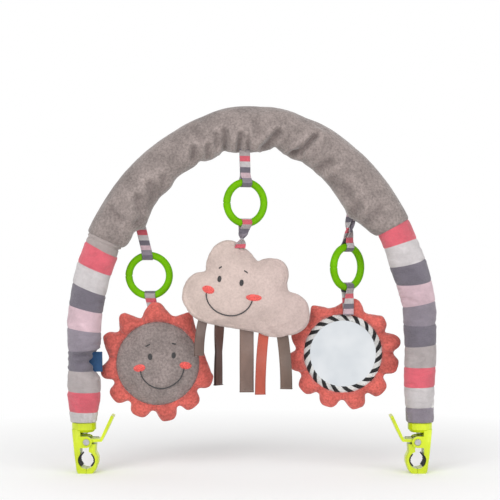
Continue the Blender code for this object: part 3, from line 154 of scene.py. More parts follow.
# Swelling of the plush on the inside and the outside of the bend: distance from the crown and radius, in mm
INNER_SWELL = (
    (-203, 19.4), (-201, 21.0), (-199, 22.3), (-196, 23.3), (-187, 23.8), (-181, 22.6), (-176, 25.0),
    (-172, 28.6), (-168, 29.6), (-163, 28.3), (-154, 26.6), (-148, 25.1), (-142, 23.9), (-136, 23.1),
    (-130, 22.5), (-124, 22.8), (-118, 23.6), (-112, 23.3), (-109, 22.3), (-103, 20.3), (-96, 19.6),
    (-91, 20.4), (-85, 21.1), (-79, 21.4), (-73, 21.0), (-67, 19.1), (-64, 20.1), (-58, 22.0), (-52, 23.4),
    (-46, 22.5), (-40, 20.4), (-34, 18.1), (-31, 20.4), (-25, 21.9), (-19, 23.2), (-10, 24.0), (2, 24.1),
    (8, 23.7), (14, 22.5), (20, 20.8), (23, 18.6), (26, 15.6), (29, 15.9), (32, 18.2), (38, 19.9), (44, 21.2),
    (50, 22.4), (53, 22.8), (59, 21.9), (65, 20.3), (68, 21.5), (80, 22.3), (89, 23.6), (95, 23.3),
    (101, 24.2), (110, 25.2), (116, 26.4), (128, 28.2), (140, 29.8), (149, 32.0), (158, 29.5), (167, 26.5),
    (176, 24.0), (182, 22.3), (188, 18.9), (192, 17.6),
)
OUTER_SWELL = (
    (-203, 20.6), (-181, 21.3), (-160, 21.8), (-139, 22.3), (-109, 22.6), (-91, 22.0), (-73, 21.5),
    (-46, 22.2), (-34, 23.4), (-22, 24.5), (0, 24.3), (8, 23.7), (17, 24.6), (38, 24.2), (50, 22.5),
    (62, 23.5), (95, 23.5), (113, 23.1), (137, 22.4), (158, 21.3), (167, 20.9), (192, 19.6),
)
# Folds of the pile as lines on the front, in mm across and up, each with its depth and half width
FOLDS = (
    (((-27.8, 324.4), (-28.6, 341.9)), 2.6, 2.6), (((-13.8, 323.5), (-11.1, 338.4)), 3.0, 2.4),
    (((-4.2, 323.0), (-5.3, 334.6)), 2.0, 2.2), (((11.6, 324.4), (27.2, 340.9)), 3.4, 2.8),
    (((42.0, 318.3), (55.0, 326.2), (65.5, 336.7)), 3.4, 2.8),
    (((51.9, 317.8), (58.5, 330.8), (66.9, 338.4)), 1.4, 1.6), (((38.9, 317.8), (50.0, 319.6)), 1.8, 2.2),
    (((-46.4, 315.7), (-45.6, 326.2)), 2.2, 2.4), (((-36.3, 327.0), (-36.3, 338.4)), 1.8, 2.2),
    (((-61.4, 314.7), (-60.0, 324.0)), 2.4, 2.6),
    (((-104.1, 285.9), (-104.7, 276.6), (-105.3, 263.8)), 2.8, 4.0),
    (((-116.8, 272.6), (-115.5, 262.5), (-112.8, 252.4)), 2.8, 4.0),
    (((-92.0, 292.6), (-96.3, 277.2)), 2.2, 3.4), (((-119.0, 246.0), (-117.0, 244.0)), 3.0, 4.0),
    (((69.7, 302.7), (79.8, 309.4)), 2.4, 4.0), (((85.7, 285.9), (84.0, 292.0)), 2.2, 5.0),
    (((99.8, 276.4), (97.0, 284.0)), 2.2, 4.5), (((104.4, 257.7), (108.0, 266.0)), 2.4, 4.5),
    (((-146.0, 262.0), (-136.0, 251.0)), 1.6, 3.0), (((131.0, 262.0), (121.0, 250.0)), 1.6, 3.6),
    (((4.0, 352.0), (6.0, 338.0)), 1.2, 3.0), (((-60.0, 345.0), (-52.0, 334.0)), 1.2, 3.0),
)
# Seams of the striped legs: distance on the outside and on the inside, and how far the front dips, in mm
LEG_SEAMS = {
    "left": (
        (211.2, 215.4, 0.6), (232.7, 237.0, 0.8), (253.9, 260.7, 0.4), (275.8, 280.9, 0.6),
        (298.0, 302.7, 0.4), (321.7, 320.5, 0.8), (342.3, 343.1, 0.5), (364.1, 365.1, 0.5),
        (385.1, 386.1, 0.4),
    ),
    "right": (
        (187.1, 188.5, 0.0), (208.7, 204.9, 0.0), (229.7, 226.7, 2.4), (251.3, 247.8, 3.0),
        (272.2, 274.2, 0.8), (294.3, 293.8, 1.8), (314.8, 317.8, 1.0), (338.3, 338.9, 0.6),
        (358.9, 359.6, 0.6), (380.2, 381.0, 0.4),
    ),
}
# Radii of the legs on the outside and on the inside, at distances from the crown, in mm
LEG_SWELL = {
    "left": (((211, 18.6), (232, 18.6), (330, 17.0)), ((211, 19.2), (232, 19.0), (330, 17.2))),
    "right": (
        (
            (187, 19.0), (209, 18.4), (230, 18.5), (251, 18.7), (272, 18.5), (294, 17.0), (338, 16.6),
            (359, 15.6), (385, 14.4),
        ),
        (
            (188, 17.6), (205, 17.8), (227, 19.4), (248, 18.4), (274, 16.4), (294, 17.0), (318, 16.2),
            (350, 16.4), (385, 15.4),
        ),
    ),
}
# Folds that run to the tab: row of the photograph, length and depth in mm
TAB_FOLDS = ((352.0, 24, 2.6), (359.0, 20, 2.0), (369.5, 17, 1.5), (343.0, 16, 1.0))
# Outlines of the toys about their middles, in degrees and mm, and the middles of the rays that are out of sight
CLOUD_EDGE = (
    (8.7, 44.8), (18.5, 47.9), (27.1, 49.8), (35.4, 49.7), (43.7, 47.0), (52.4, 41.9), (60.8, 37.0),
    (66.9, 33.6), (81.5, 39.5), (93.2, 46.0), (103.1, 52.7), (112.5, 55.8), (123.4, 55.8), (132.2, 53.4),
    (140.5, 50.4), (148.8, 47.4), (154.2, 46.1), (160.9, 54.3), (168.0, 59.7), (174.7, 62.8), (181.5, 64.7),
    (188.5, 65.6), (195.1, 63.9), (202.6, 61.7), (211.1, 57.7), (220.3, 52.6), (234.0, 45.9), (258.5, 41.1),
    (285.8, 45.6), (295.0, 51.5), (306.0, 59.4), (315.4, 66.2), (322.8, 71.0), (329.6, 73.7), (335.9, 73.2),
    (342.3, 70.1), (348.7, 65.7), (352.6, 60.7), (356.2, 53.8), (358.8, 46.0),
)
FACE_EDGE = (
    (27.1, 50.0), (34.9, 51.2), (41.0, 53.7), (48.9, 58.3), (54.9, 62.8), (56.9, 63.5), (59.6, 62.5),
    (64.2, 57.5), (70.5, 52.9), (74.8, 53.2), (81.1, 57.2), (86.6, 62.5), (90.7, 64.6), (96.0, 64.6),
    (98.9, 62.4), (104.3, 56.8), (110.4, 50.9), (112.9, 52.2), (119.8, 59.3), (123.5, 64.0), (129.6, 64.4),
    (138.1, 55.0), (142.3, 54.0), (147.6, 61.4), (153.3, 64.6), (156.8, 62.9), (162.7, 58.7), (168.6, 54.5),
    (174.7, 52.3), (180.0, 56.0),
)
FACE_HIDDEN = (187, 218, 249, 280, 311, 342)
MIRROR_EDGE = (
    (1.4, 53.6), (7.4, 60.7), (13.3, 62.4), (18.3, 59.8), (23.2, 53.8), (26.4, 50.0), (28.8, 51.2),
    (32.8, 55.1), (37.1, 56.7), (43.2, 57.5), (48.4, 54.2), (57.1, 50.0), (62.2, 49.5), (66.1, 52.7),
    (70.0, 56.0), (74.0, 58.6), (78.5, 59.0), (85.5, 56.4), (92.5, 52.7), (99.4, 50.0), (106.4, 49.9),
    (112.0, 53.0), (117.8, 57.0), (121.4, 59.5), (124.1, 59.6), (129.3, 54.7), (136.0, 50.3), (146.3, 49.7),
    (155.1, 56.9), (159.6, 58.0), (166.0, 55.0), (175.2, 49.9),
)
MIRROR_HIDDEN = (190, 222, 253, 285, 316, 347)
# Where the cloud's edge dips in, in degrees, and the directions at which outlines are looked up
CLOUD_VALLEYS = (66.9, 154.2, 0)
ALL_ROUND = np.linspace(-math.pi, math.pi, 1441)
# Least half thickness of a stuffed toy away from its rim
THINNEST = 0.0004
# Faces, at places in pixels of the photograph; eyes and cheeks also have half sizes in mm and a tilt
CLOUD_FACE = {
    "eyes": ((219.5, 278.9, 1.9, 3.1, -0.10), (241.6, 282.7, 2.0, 3.1, -0.14)),
    "brows": (((219.0, 268.4), (221.8, 266.6)), ((244.2, 270.6), (247.7, 272.9))),
    "cheeks": ((208.4, 289.6, 6.2, 3.9, -0.28), (253.8, 297.5, 7.9, 3.3, -0.06)),
    "smile": (
        (206.3, 293.4), (206.8, 298.2), (208.9, 303.4), (213.2, 308.7), (218.4, 312.4), (224.7, 314.7),
        (231.1, 315.5), (237.4, 314.7), (243.7, 311.8), (247.9, 308.2), (250.5, 304.5), (252.1, 300.8),
    ),
}
SUN_FACE = {
    "eyes": ((150.2, 356.8, 2.2, 3.3, 0.05), (173.7, 355.3, 2.0, 3.1, -0.05)),
    "brows": (((145.6, 346.3), (150.2, 344.3)), ((171.9, 343.6), (175.7, 344.2))),
    "cheeks": ((139.5, 368.0, 6.0, 3.7, 0.15), (185.5, 365.5, 6.0, 3.7, -0.15)),
    "smile": (
        (140.5, 371.0), (142.0, 376.5), (146.0, 382.0), (152.5, 386.5), (160.0, 388.4), (167.5, 387.4),
        (175.0, 383.6), (180.2, 378.5), (183.0, 372.5), (183.8, 368.5),
    ),
}


# Materials
def linear(rgb):
    values = [v / 255 for v in rgb]
    return tuple(v / 12.92 if v <= 0.04045 else ((v + 0.055) / 1.055) ** 2.4 for v in values) + (1,)


def set_sockets(node, values):
    for socket, value in values.items():
        node.inputs[socket.replace("_", " ")].default_value = value
    return node


def add_node(tree, kind, operation=None, **values):
    made = tree.nodes.new(kind)
    if operation:
        made.operation = operation
    return set_sockets(made, values)


class Look:
    """A procedural material on one Principled shader."""

    def __init__(self, name, rgb, roughness, **values):
        self.rgb = rgb
        self.material = bpy.data.materials.new(name)
        self.material.use_nodes = True
        self.tree = self.material.node_tree
        self.shader = set_sockets(self.tree.nodes["Principled BSDF"], values)
        set_sockets(self.shader, {"Base Color": linear(rgb), "Roughness": roughness})
        self.height = None

    def node(self, kind, **values):
        return add_node(self.tree, kind, **values)

    def link(self, output, socket):
        self.tree.links.new(output, socket)

    def coordinates(self, source="Object"):
        return self.node("ShaderNodeTexCoord").outputs[source]

    def noise(self, scale, detail=2, roughness=0.5, stretch=None):
        made = self.node("ShaderNodeTexNoise", Scale=scale, Detail=detail, Roughness=roughness)
        place = self.coordinates()
        if stretch:
            mapping = self.node("ShaderNodeMapping", Scale=stretch)
            self.link(place, mapping.inputs["Vector"])
            place = mapping.outputs["Vector"]
        self.link(place, made.inputs["Vector"])
        return made.outputs["Fac"]

    def wave(self, scale, direction, distortion, source="Object"):
        made = self.node("ShaderNodeTexWave", Scale=scale, Distortion=distortion)
        made.bands_direction = direction
        self.link(self.coordinates(source), made.inputs["Vector"])
        return made.outputs["Fac"]

    def tint(self, factor, *stops):
        """Base colour that runs through (position, rgb) stops, times any colour before it."""
        made = self.node("ShaderNodeValToRGB")
        ramp = made.color_ramp
        while len(ramp.elements) < len(stops):
            ramp.elements.new(0.5)
        for element, (position, rgb) in zip(ramp.elements, stops):
            element.position = position
            element.color = linear(rgb)
        self.link(factor, made.inputs["Fac"])
        colour = made.outputs["Color"]
        socket = self.shader.inputs["Base Color"]
        if socket.is_linked:
            mix = self.node("ShaderNodeMix")
            mix.data_type = "RGBA"
            mix.blend_type = "MULTIPLY"
            mix.inputs[0].default_value = 1
            self.link(socket.links[0].from_socket, mix.inputs[6])
            self.link(colour, mix.inputs[7])
            colour = mix.outputs[2]
        self.link(colour, socket)

    def shades(self, factor, *stops):
        """Tint through (position, share of the look's own colour) stops."""
        self.tint(factor, *((place, tuple(min(v * share, 255) for v in self.rgb)) for place, share in stops))

    def greys(self, factor, *stops):
        self.tint(factor, *((place, (level, level, level)) for place, level in stops))

    def bump(self, factor, distance, strength=1.0):
        """Bump in metres, stacked on any bump before it."""
        made = self.node("ShaderNodeBump", Strength=strength, Distance=distance)
        self.link(factor, made.inputs["Height"])
        if self.height is not None:
            self.link(self.height, made.inputs["Normal"])
        self.height = made.outputs["Normal"]
        self.link(self.height, self.shader.inputs["Normal"])


def plush_look(name, rgb, nap=0.10, pile=0.9, painted_crease_shade=False):
    """Short pile: soft patches where the nap lies over, a fine mottled fibre, and, when asked, painted shade
    that darkens the creases.
    """
    look = Look(name, rgb, 0.95, Sheen_Weight=0.45, Sheen_Roughness=0.4, Specular_IOR_Level=0.1)
    look.shades(look.noise(46, 3, 0.55), (0.32, 1 - nap), (0.54, 1), (0.74, 1 + nap * 0.6))
    look.greys(look.noise(420, 3, 0.7), (0.32, 202), (0.62, 255))
    if painted_crease_shade:
        # Painted shade: the pile is darkened where the crease attribute is low, in the valleys of the folds.
        crease = look.node("ShaderNodeAttribute")
        crease.attribute_name = "crease"
        stops = (0.0, (208, 206, 207)), (0.70, (241, 241, 241)), (1.0, (255, 255, 255))
        look.tint(crease.outputs["Fac"], *stops)
    look.bump(look.noise(480, 3, 0.75), 0.0010 * pile)
    look.bump(look.noise(130, 3, 0.6), 0.0010 * pile)
    return look.material


def cloud_look():
    """Pale plush, with painted shade that makes it a little darker and cooler towards its right side."""
    rgb = (199, 181, 173)
    look = Look("plush_cloud", rgb, 0.95, Sheen_Weight=0.35, Sheen_Roughness=0.4, Specular_IOR_Level=0.1)
    look.shades(look.noise(40, 3, 0.55), (0.32, 0.95), (0.54, 1), (0.74, 1.03))
    look.greys(look.noise(460, 3, 0.7), (0.30, 236), (0.62, 255))
    # Painted shade: plain at the left of the cloud, a little darker and cooler at the right.
    split = look.node("ShaderNodeSeparateXYZ")
    look.link(look.coordinates(), split.inputs[0])
    across = look.node("ShaderNodeMapRange", From_Min=-0.065, From_Max=0.055)
    look.link(split.outputs["X"], across.inputs["Value"])
    look.tint(across.outputs["Result"], (0.0, (255, 255, 255)), (1.0, (247, 244, 248)))
    look.bump(look.noise(520, 3, 0.75), 0.0007)
    look.bump(look.noise(120, 3, 0.6), 0.0008)
    return look.material


def jersey_look(name, rgb):
    """Fine knit with faint creases."""
    look = Look(name, rgb, 0.72, Sheen_Weight=0.25, Sheen_Roughness=0.4, Specular_IOR_Level=0.25)
    look.shades(look.noise(38, 4, 0.6), (0.30, 0.90), (0.55, 1), (0.80, 1.07))
    look.greys(look.noise(900, 2, 0.6, (1, 1, 3)), (0.3, 238), (0.7, 255))
    look.bump(look.wave(380, "X", 1.5), 0.00020)
    look.bump(look.wave(520, "Z", 1.5), 0.00018)
    look.bump(look.noise(110, 4, 0.65, (1, 1, 2.2)), 0.0016)
    return look.material


def ribbon_look(name, rgb):
    """Woven ribbon with cross ribs, with painted shade in the grooves between them."""
    look = Look(name, rgb, 0.62, Sheen_Weight=0.2, Sheen_Roughness=0.35, Specular_IOR_Level=0.3)
    # Painted shade: the colour follows the ribs' bump and is darker where it is low, in the grooves.
    look.shades(look.wave(0.52, "Y", 0.3, "UV"), (0.1, 0.84), (0.7, 1.03))
    look.greys(look.noise(420, 3), (0.3, 236), (0.7, 255))
    look.bump(look.wave(0.52, "Y", 0.3, "UV"), 0.00022)
    look.bump(look.wave(0.8, "X", 0.5, "UV"), 0.00008)
    return look.material


def satin_look(name, rgb):
    look = Look(name, rgb, 0.42, Sheen_Weight=0.1, Sheen_Roughness=0.3, Anisotropic=0.5)
    look.shades(look.noise(60, 3, 0.5, (1, 1, 0.3)), (0.3, 0.88), (0.7, 1.08))
    look.bump(look.wave(1.1, "X", 0.4, "UV"), 0.00006)
    look.bump(look.noise(140), 0.0004)
    return look.material


def thread_look(name, rgb):
    look = Look(name, rgb, 0.45, Sheen_Weight=0.3)
    look.shades(look.noise(900), (0.3, 0.8), (0.7, 1.15))
    look.bump(look.noise(2600), 0.0001)
    return look.material


def plastic_look(name, rgb, roughness, glow=0.12, coat=0.15, **values):
    """Moulded plastic: faint flow marks, fine texture and a little light inside."""
    look = Look(name, rgb, roughness, Subsurface_Weight=glow, Coat_Weight=coat, Coat_Roughness=0.2, **values)
    set_sockets(look.shader, {"Subsurface Radius": (0.004, 0.004, 0.001), "Subsurface Scale": 1})
    look.shades(look.noise(45, 3), (0.3, 0.94), (0.7, 1.05))
    look.bump(look.noise(1500), 0.00005)
    look.bump(look.noise(90), 0.0003)
    return look.material


def steel_look(name, rgb, roughness):
    look = Look(name, rgb, roughness, Metallic=1)
    look.shades(look.noise(300, 3, 0.6), (0.3, 0.88), (0.7, 1))
    look.bump(look.noise(1200), 0.00004)
    return look.material


def rubber_look(name, rgb):
    look = Look(name, rgb, 0.82)
    look.shades(look.noise(200, 3), (0.3, 0.8), (0.7, 1.3))
    look.bump(look.noise(1400), 0.0001)
    return look.material


def mirror_look():
    look = Look("mirror_film", (226, 230, 234), 0.05, Metallic=1)
    look.tint(look.noise(30), (0.3, (214, 219, 224)), (0.7, (232, 235, 238)))
    look.bump(look.noise(17, 1, 0.4, (1, 1, 2.2)), 0.0008, 0.5)
    return look.material


# The sleeve's grey plush carries painted shade in its creases.
PLUSH = plush_look("plush_grey", (158, 146, 142), painted_crease_shade=True)
CUFF = jersey_look("cuff_knit", (177, 165, 162))
STRIPE_RGB = {
    "coral": (228, 104, 118),
    "light": (212, 206, 207),
    "dark": (120, 114, 125),
    "pink": (220, 190, 199),
    "medium": (149, 140, 151),
    "warm": (185, 175, 175),
}
STRIPES = {name: jersey_look(f"jersey_{name}", rgb) for name, rgb in STRIPE_RGB.items()}
RIBBONS = {name: ribbon_look(f"ribbon_{name}", rgb) for name, rgb in STRIPE_RGB.items()}
PATTERN = ("coral", "light", "dark", "pink", "medium", "dark", "warm")
LEG_STRIPES = {"left": PATTERN + ("coral", "light"), "right": PATTERN + ("coral", "light", "medium")}
CLOUD_PINK = cloud_look()
CORAL = plush_look("plush_coral", (213, 105, 96), 0.12, 1.0)
FACE_GREY = plush_look("plush_face", (147, 135, 132), 0.08, 0.8)
THREAD_DARK = thread_look("thread_dark", (42, 40, 42))
THREAD_CORAL = thread_look("thread_coral", (214, 80, 74))
GREEN = plastic_look("ring_green", (102, 166, 0), 0.5, 0.05, 0.0, Specular_IOR_Level=0.08)
LIME = plastic_look("clip_lime", (192, 208, 20), 0.32, 0.2)
WHITE_PLASTIC = plastic_look("plug_white", (222, 222, 218), 0.5)
STEEL = steel_look("steel", (196, 196, 200), 0.3)
RUBBER = rubber_look("rubber", (38, 38, 40))
TAPE = [jersey_look("tape_black", (30, 29, 31)), jersey_look("tape_white", (226, 226, 224))]
MIRROR = mirror_look()
NAVY = ribbon_look("navy_tape", (48, 88, 132))


# Meshes
def repair(mesh, merge=0.0):
    """Joins points that lie closer than merge, and turns every face outward."""
    work = bmesh.new()
    work.from_mesh(mesh)
    if merge:
        bmesh.ops.remove_doubles(work, verts=work.verts, dist=merge)
    bmesh.ops.recalc_face_normals(work, faces=work.faces)
    work.to_mesh(mesh)
    work.free()


def weld(piece):
    repair(piece.data, 0.00001)


def add_object(name, data):
    item = bpy.data.objects.new(name, data)
    bpy.context.scene.collection.objects.link(item)
    return item


def add_piece(name, points, faces, looks, body, indices=None, uvs=None):
    """Smooth piece on a body; indices give the look of each face, and uvs the place of each face's corners."""
    mesh = bpy.data.meshes.new(name)
    mesh.from_pydata(points, [], faces)
    for look in looks:
        mesh.materials.append(look)
    if indices is not None:
        mesh.polygons.foreach_set("material_index", np.asarray(indices, dtype=np.int32).ravel())
    if uvs is not None:
        mesh.uv_layers.new(name="UVMap").data.foreach_set("uv", uvs)
    item = add_object(name, mesh)
    repair(mesh)
    mesh.shade_smooth()
    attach(item, body)
    return item


def grid_faces(count, columns, closed):
    """Corners of the faces of a grid of points, row by row; a closed one joins its last column to its first."""
    i = np.arange(count - 1)[:, None] * columns
    j = np.arange(columns if closed else columns - 1)[None]
    k = (j + 1) % columns
    return np.stack([i + j, i + k, i + columns + k, i + columns + j], -1).reshape(-1, 4)


def skin(name, rows, looks, bands=None, body="arch", closed=False, uvs=None):
    """Piece over a grid of points, rows by columns; bands give the look of each row of faces."""
    rows = np.asarray(rows, dtype=float)
    count, columns = rows.shape[:2]
    faces = grid_faces(count, columns, closed)
    if bands is not None:
        bands = np.repeat(bands, len(faces) // len(bands))
    if uvs is not None:
        uvs = np.asarray(uvs, dtype=float).reshape(-1, 2)[faces.ravel()].ravel()
    return add_piece(name, rows.reshape(-1, 3).tolist(), faces.tolist(), looks, body, bands, uvs)


def subdivide(piece):
    modifier = piece.modifiers.new("smooth", "SUBSURF")
    modifier.levels = 1
    modifier.render_levels = 1


def thicken(piece, thickness):
    solid = piece.modifiers.new("thickness", "SOLIDIFY")
    solid.thickness = thickness
    solid.offset = 0


def spline(points, steps):
    """Places on a smooth curve between the second point and the last but one."""
    curve = []
    for p0, p1, p2, p3 in zip(points, points[1:], points[2:], points[3:]):
        slope, bend, swing = p2 - p0, 2 * p0 - 5 * p1 + 4 * p2 - p3, 3 * p1 - p0 - 3 * p2 + p3
        for t in np.linspace(0, 1, steps, endpoint=False):
            curve.append(0.5 * (2 * p1 + slope * t + bend * t**2 + swing * t**3))
    return np.array(curve)


def bell(apart, width):
    """1 at nothing, falling to nothing over about twice the width."""
    return np.exp(-((apart / width) ** 2))


def photo_place(column, row, depth=0.0):
    """Place across and up of a pixel of the photograph, at a depth."""
    x, z = (column - MIDDLE_COLUMN) * PIXEL, (FOOT_ROW - row) * PIXEL + FOOT_HEIGHT
    nearer = 1 + depth / CAMERA[1]
    return CAMERA[0] + (x - CAMERA[0]) / nearer, CAMERA[2] + (z - CAMERA[2]) / nearer


# The stuffed arch
def profile_of(table, distances):
    """Smooth value of a table of (place, value), both in mm, at distances in metres."""
    places, values = np.array(table).T / 1000
    spread = 0.0021
    total = 0
    for shift, weight in ((-1, 0.25), (0, 0.5), (1, 0.25)):
        total = total + weight * np.interp(np.asarray(distances) + shift * spread, places, values)
    return total


def inner_weight(angle):
    return ((1 - np.cos(angle)) / 2) ** 2


def outer_weight(angle):
    return ((1 + np.cos(angle)) / 2) ** 2


def plain_radius(distance):
    return np.interp(np.abs(distance), RADIUS_STATIONS, RADII)


def base_radius(distance, angle):
    """Plain stuffed surface, with the crease at the tab."""
    crease_reach, crease_depth = 0.020, 0.0055
    apart = np.clip(np.abs(distance - TAB_DISTANCE) / crease_reach, 0, 1)
    return plain_radius(distance) - inner_weight(angle) * crease_depth * np.cos(apart * math.pi / 2) ** 2


def swollen_radius(distance, angle, inner, outer):
    """Plain surface pushed to the measured bulges on the inside and the outside of the bend."""
    value = base_radius(distance, angle)
    plain = plain_radius(distance)
    crease = plain - base_radius(distance, math.pi)
    value = value + inner_weight(angle) * (inner - crease - plain)
    return value + outer_weight(angle) * (outer - plain)


def arch_places(distance, angle, reach):
    """Points on the tube for arrays of distance along the arch, angle round it and radius."""
    side = np.where(distance < 0, -1.0, 1.0)
    along = np.abs(distance)
    crown = along <= CROWN_ARC
    turn = np.where(crown, along / CROWN_RADIUS, CROWN_SWEEP + (along - CROWN_ARC) / HAUNCH_RADIUS)
    turn = np.minimum(turn, math.pi / 2)
    bend = np.where(crown, CROWN_RADIUS, HAUNCH_RADIUS)
    centre_x = np.where(crown, 0.0, HALF_SPAN - HAUNCH_RADIUS)
    centre_z = np.where(crown, SPRINGING_HEIGHT + ARCH_RISE - CROWN_RADIUS, SPRINGING_HEIGHT)
    drop = np.maximum(along - CROWN_ARC - HAUNCH_ARC, 0.0)
    out = bend + reach * np.cos(angle)
    x = side * (centre_x + out * np.sin(turn))
    z = centre_z + out * np.cos(turn) - drop
    y = reach * np.sin(angle)
    return np.stack(np.broadcast_arrays(x, y, z), -1)


def fold_change(points, folds):
    """Soft valleys between two ridges, along lines seen from the front, and their mirror image behind."""
    widening, ridge, ridge_place, ridge_width = 1.25, 0.40, 1.9, 0.8
    front = points[..., 1] < 0
    x = np.where(front, points[..., 0], -points[..., 0])
    z = points[..., 2]
    change = np.zeros(x.shape)
    for line, depth, width in folds:
        best = np.full(x.shape, 1.0)
        for (ax, az), (bx, bz) in zip(line, line[1:]):
            ax, az, bx, bz = ax / 1000, az / 1000, bx / 1000, bz / 1000
            squared = (bx - ax) ** 2 + (bz - az) ** 2
            t = np.clip(((x - ax) * (bx - ax) + (z - az) * (bz - az)) / squared, 0, 1)
            best = np.minimum(best, np.hypot(x - ax - t * (bx - ax), z - az - t * (bz - az)))
        share = best / (widening * width / 1000)
        change -= depth / 1000 * (bell(share, 1) - ridge * bell(share - ridge_place, ridge_width))
    return change


def mottle(points, *waves):
    """Smooth noise over a grid of points: pairs of (waves per metre, height)."""
    flat = points.reshape(-1, 3)
    total = np.zeros(len(flat))
    for scale, height in waves:
        total += height * np.array([noise.noise(Vector(p)) for p in (flat * scale).tolist()])
    return total.reshape(points.shape[:-1])


def edge_roll(apart, reach, depth):
    """How far a rounded edge falls away within reach of its end."""
    share = np.clip(apart / reach, 0, 1)
    return depth * (1 - np.sqrt(1 - (1 - share) ** 2))


def round_angles(columns):
    """Angles round the tube, from the back to the back; 0 is the outside of the bend."""
    return math.pi / 2 + math.tau * np.arange(columns + 1) / columns


def turn_in(distance, angle, reach, first, last):
    """One row more at each end of a grid: a step along the arch, and so far below the plain surface."""
    ends = []
    for row, (step, depth) in ((slice(0, 1), first), (slice(-1, None), last)):
        ends.append((distance[row] + step, angle[row], base_radius(distance[row], angle[row]) - depth))
    return [np.concatenate(parts) for parts in zip(ends[0], (distance, angle, reach), ends[1])]


def tube_piece(name, distance, angle, reach, looks, bands=None, crease=None):
    """Tube along the arch, whose crease says how far out of a crease each point lies; the plush reads it for
    painted shade, darkest deep in a crease.
    """
    uvs = np.stack([distance * 1000, (angle - math.pi / 2) * 20], -1)
    piece = skin(name, arch_places(distance, angle, reach), looks, bands, uvs=uvs)
    if crease is not None:
        piece.data.attributes.new("crease", "FLOAT", "POINT").data.foreach_set("value", crease.ravel())
    weld(piece)
    return piece


def build_plush():
    """Grey sleeve, whose ends roll under and whose creases are as deep at the back as at the front."""
    start, end = CUFF_FOLD, PLUSH_END
    rows, columns = 330, 104
    edge = np.array([0, 0.0003, 0.0008, 0.0014])
    stations = np.concatenate([start + edge, np.linspace(start + 0.0022, end - 0.0022, rows), end - edge[::-1]])
    distance, angle = np.meshgrid(stations, round_angles(columns), indexing="ij")
    inner, outer = profile_of(INNER_SWELL, distance), profile_of(OUTER_SWELL, distance)
    reach = swollen_radius(distance, angle, inner, outer)
    points = arch_places(distance, angle, reach)
    from_end = np.minimum(distance - start, end - distance)
    fade = np.clip(from_end / 0.012, 0, 1)
    seen = np.clip(1.9 * np.abs(np.sin(angle)), 0, 1)
    crease = 1.15 * fade * seen * fold_change(points, FOLDS)
    reach = reach + crease
    reach = reach + fade * (0.3 + 0.7 * seen) * mottle(points, (34, 0.0009), (75, 0.0005), (190, 0.0002))
    reach = reach - edge_roll(from_end, 0.0026, 0.0024)
    distance, angle, reach = turn_in(distance, angle, reach, (0.0006, 0.0030), (-0.0006, 0.0030))
    # Painted shade: fold changes from the deepest to the shallowest map to 0 to 1, from darkest to plain pile.
    deepest, shallowest = -0.0028, 0.0012
    shade = (np.pad(crease, ((1, 1), (0, 0)), "edge") - deepest) / (shallowest - deepest)
    piece = tube_piece("arch_plush", distance, angle, reach, [PLUSH], crease=np.clip(shade, 0, 1))
    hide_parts("plush_sleeve", "foam_core")


def seam_place(seam, angle):
    """Distance of a seam from the crown round the tube, which may slant and dip at the front."""
    outer, inner, dip = seam
    middle, slant = (outer + inner) / 2, (outer - inner) / 2
    return (middle + slant * np.cos(angle) - dip * np.sin(angle)) / 1000


def build_cuff():
    """Knit cuff with a rolled fold under the plush, a little narrower than both its neighbours."""
    rows, columns = 40, 96
    angles = round_angles(columns)
    low = -seam_place(LEG_SEAMS["left"][0], angles) - 0.0003
    distance = low + np.linspace(0, 1, rows)[:, None] * (CUFF_FOLD + 0.0030 - low)
    angle = np.broadcast_to(angles, distance.shape)
    inner = np.interp(distance, (-0.213, -0.207, -0.203, -0.199), (0.0184, 0.0178, 0.0186, 0.0196))
    outer = np.interp(distance, (-0.213, -0.207, -0.203), (0.0186, 0.0189, 0.0190))
    reach = swollen_radius(distance, angle, inner, outer) - 0.0004
    from_fold = distance - CUFF_FOLD
    reach = reach + 0.0009 * bell(from_fold + 0.0014, 0.0010) - 0.0008 * bell(from_fold + 0.0036, 0.0008)
    points = arch_places(distance, angle, reach)
    reach = reach + mottle(points, (60, 0.0006), (160, 0.00025)) - edge_roll(distance - low, 0.0012, 0.0007)
    piece = tube_piece("arch_cuff_left", distance, angle, reach, [CUFF])
    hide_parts("plush_cuff_left")


def leg_folds(side):
    """Wrinkles of the thin jersey, in mm: slanting lines across the leg, and the folds at the tab."""
    chance = random.Random(31 + side)
    folds = []
    count = 26
    for step in range(count):
        z = 0.052 + 0.178 * (step + chance.random()) / count
        x = side * (HALF_SPAN - 0.010 * max(z - 0.13, 0) / 0.05 - 0.002) + chance.uniform(-0.014, 0.014)
        lean = chance.uniform(-0.7, 0.7) + 0.25 * side
        half = chance.uniform(0.005, 0.013)
        middle = (x, z + chance.uniform(-0.001, 0.001))
        line = ((x - half, z - half * lean), middle, (x + half, z + half * lean))
        line = tuple((1000 * a, 1000 * b) for a, b in line)
        folds.append((line, chance.uniform(0.35, 0.95), chance.uniform(1.1, 2.2)))
    if side < 0:
        for row, length, depth in TAB_FOLDS:
            z = 1000 * photo_place(MIDDLE_COLUMN, row)[1]
            folds.append((((-150, z), (-162, z - 0.5), (-158 - length, z - 3)), depth, 2.0))
    return folds


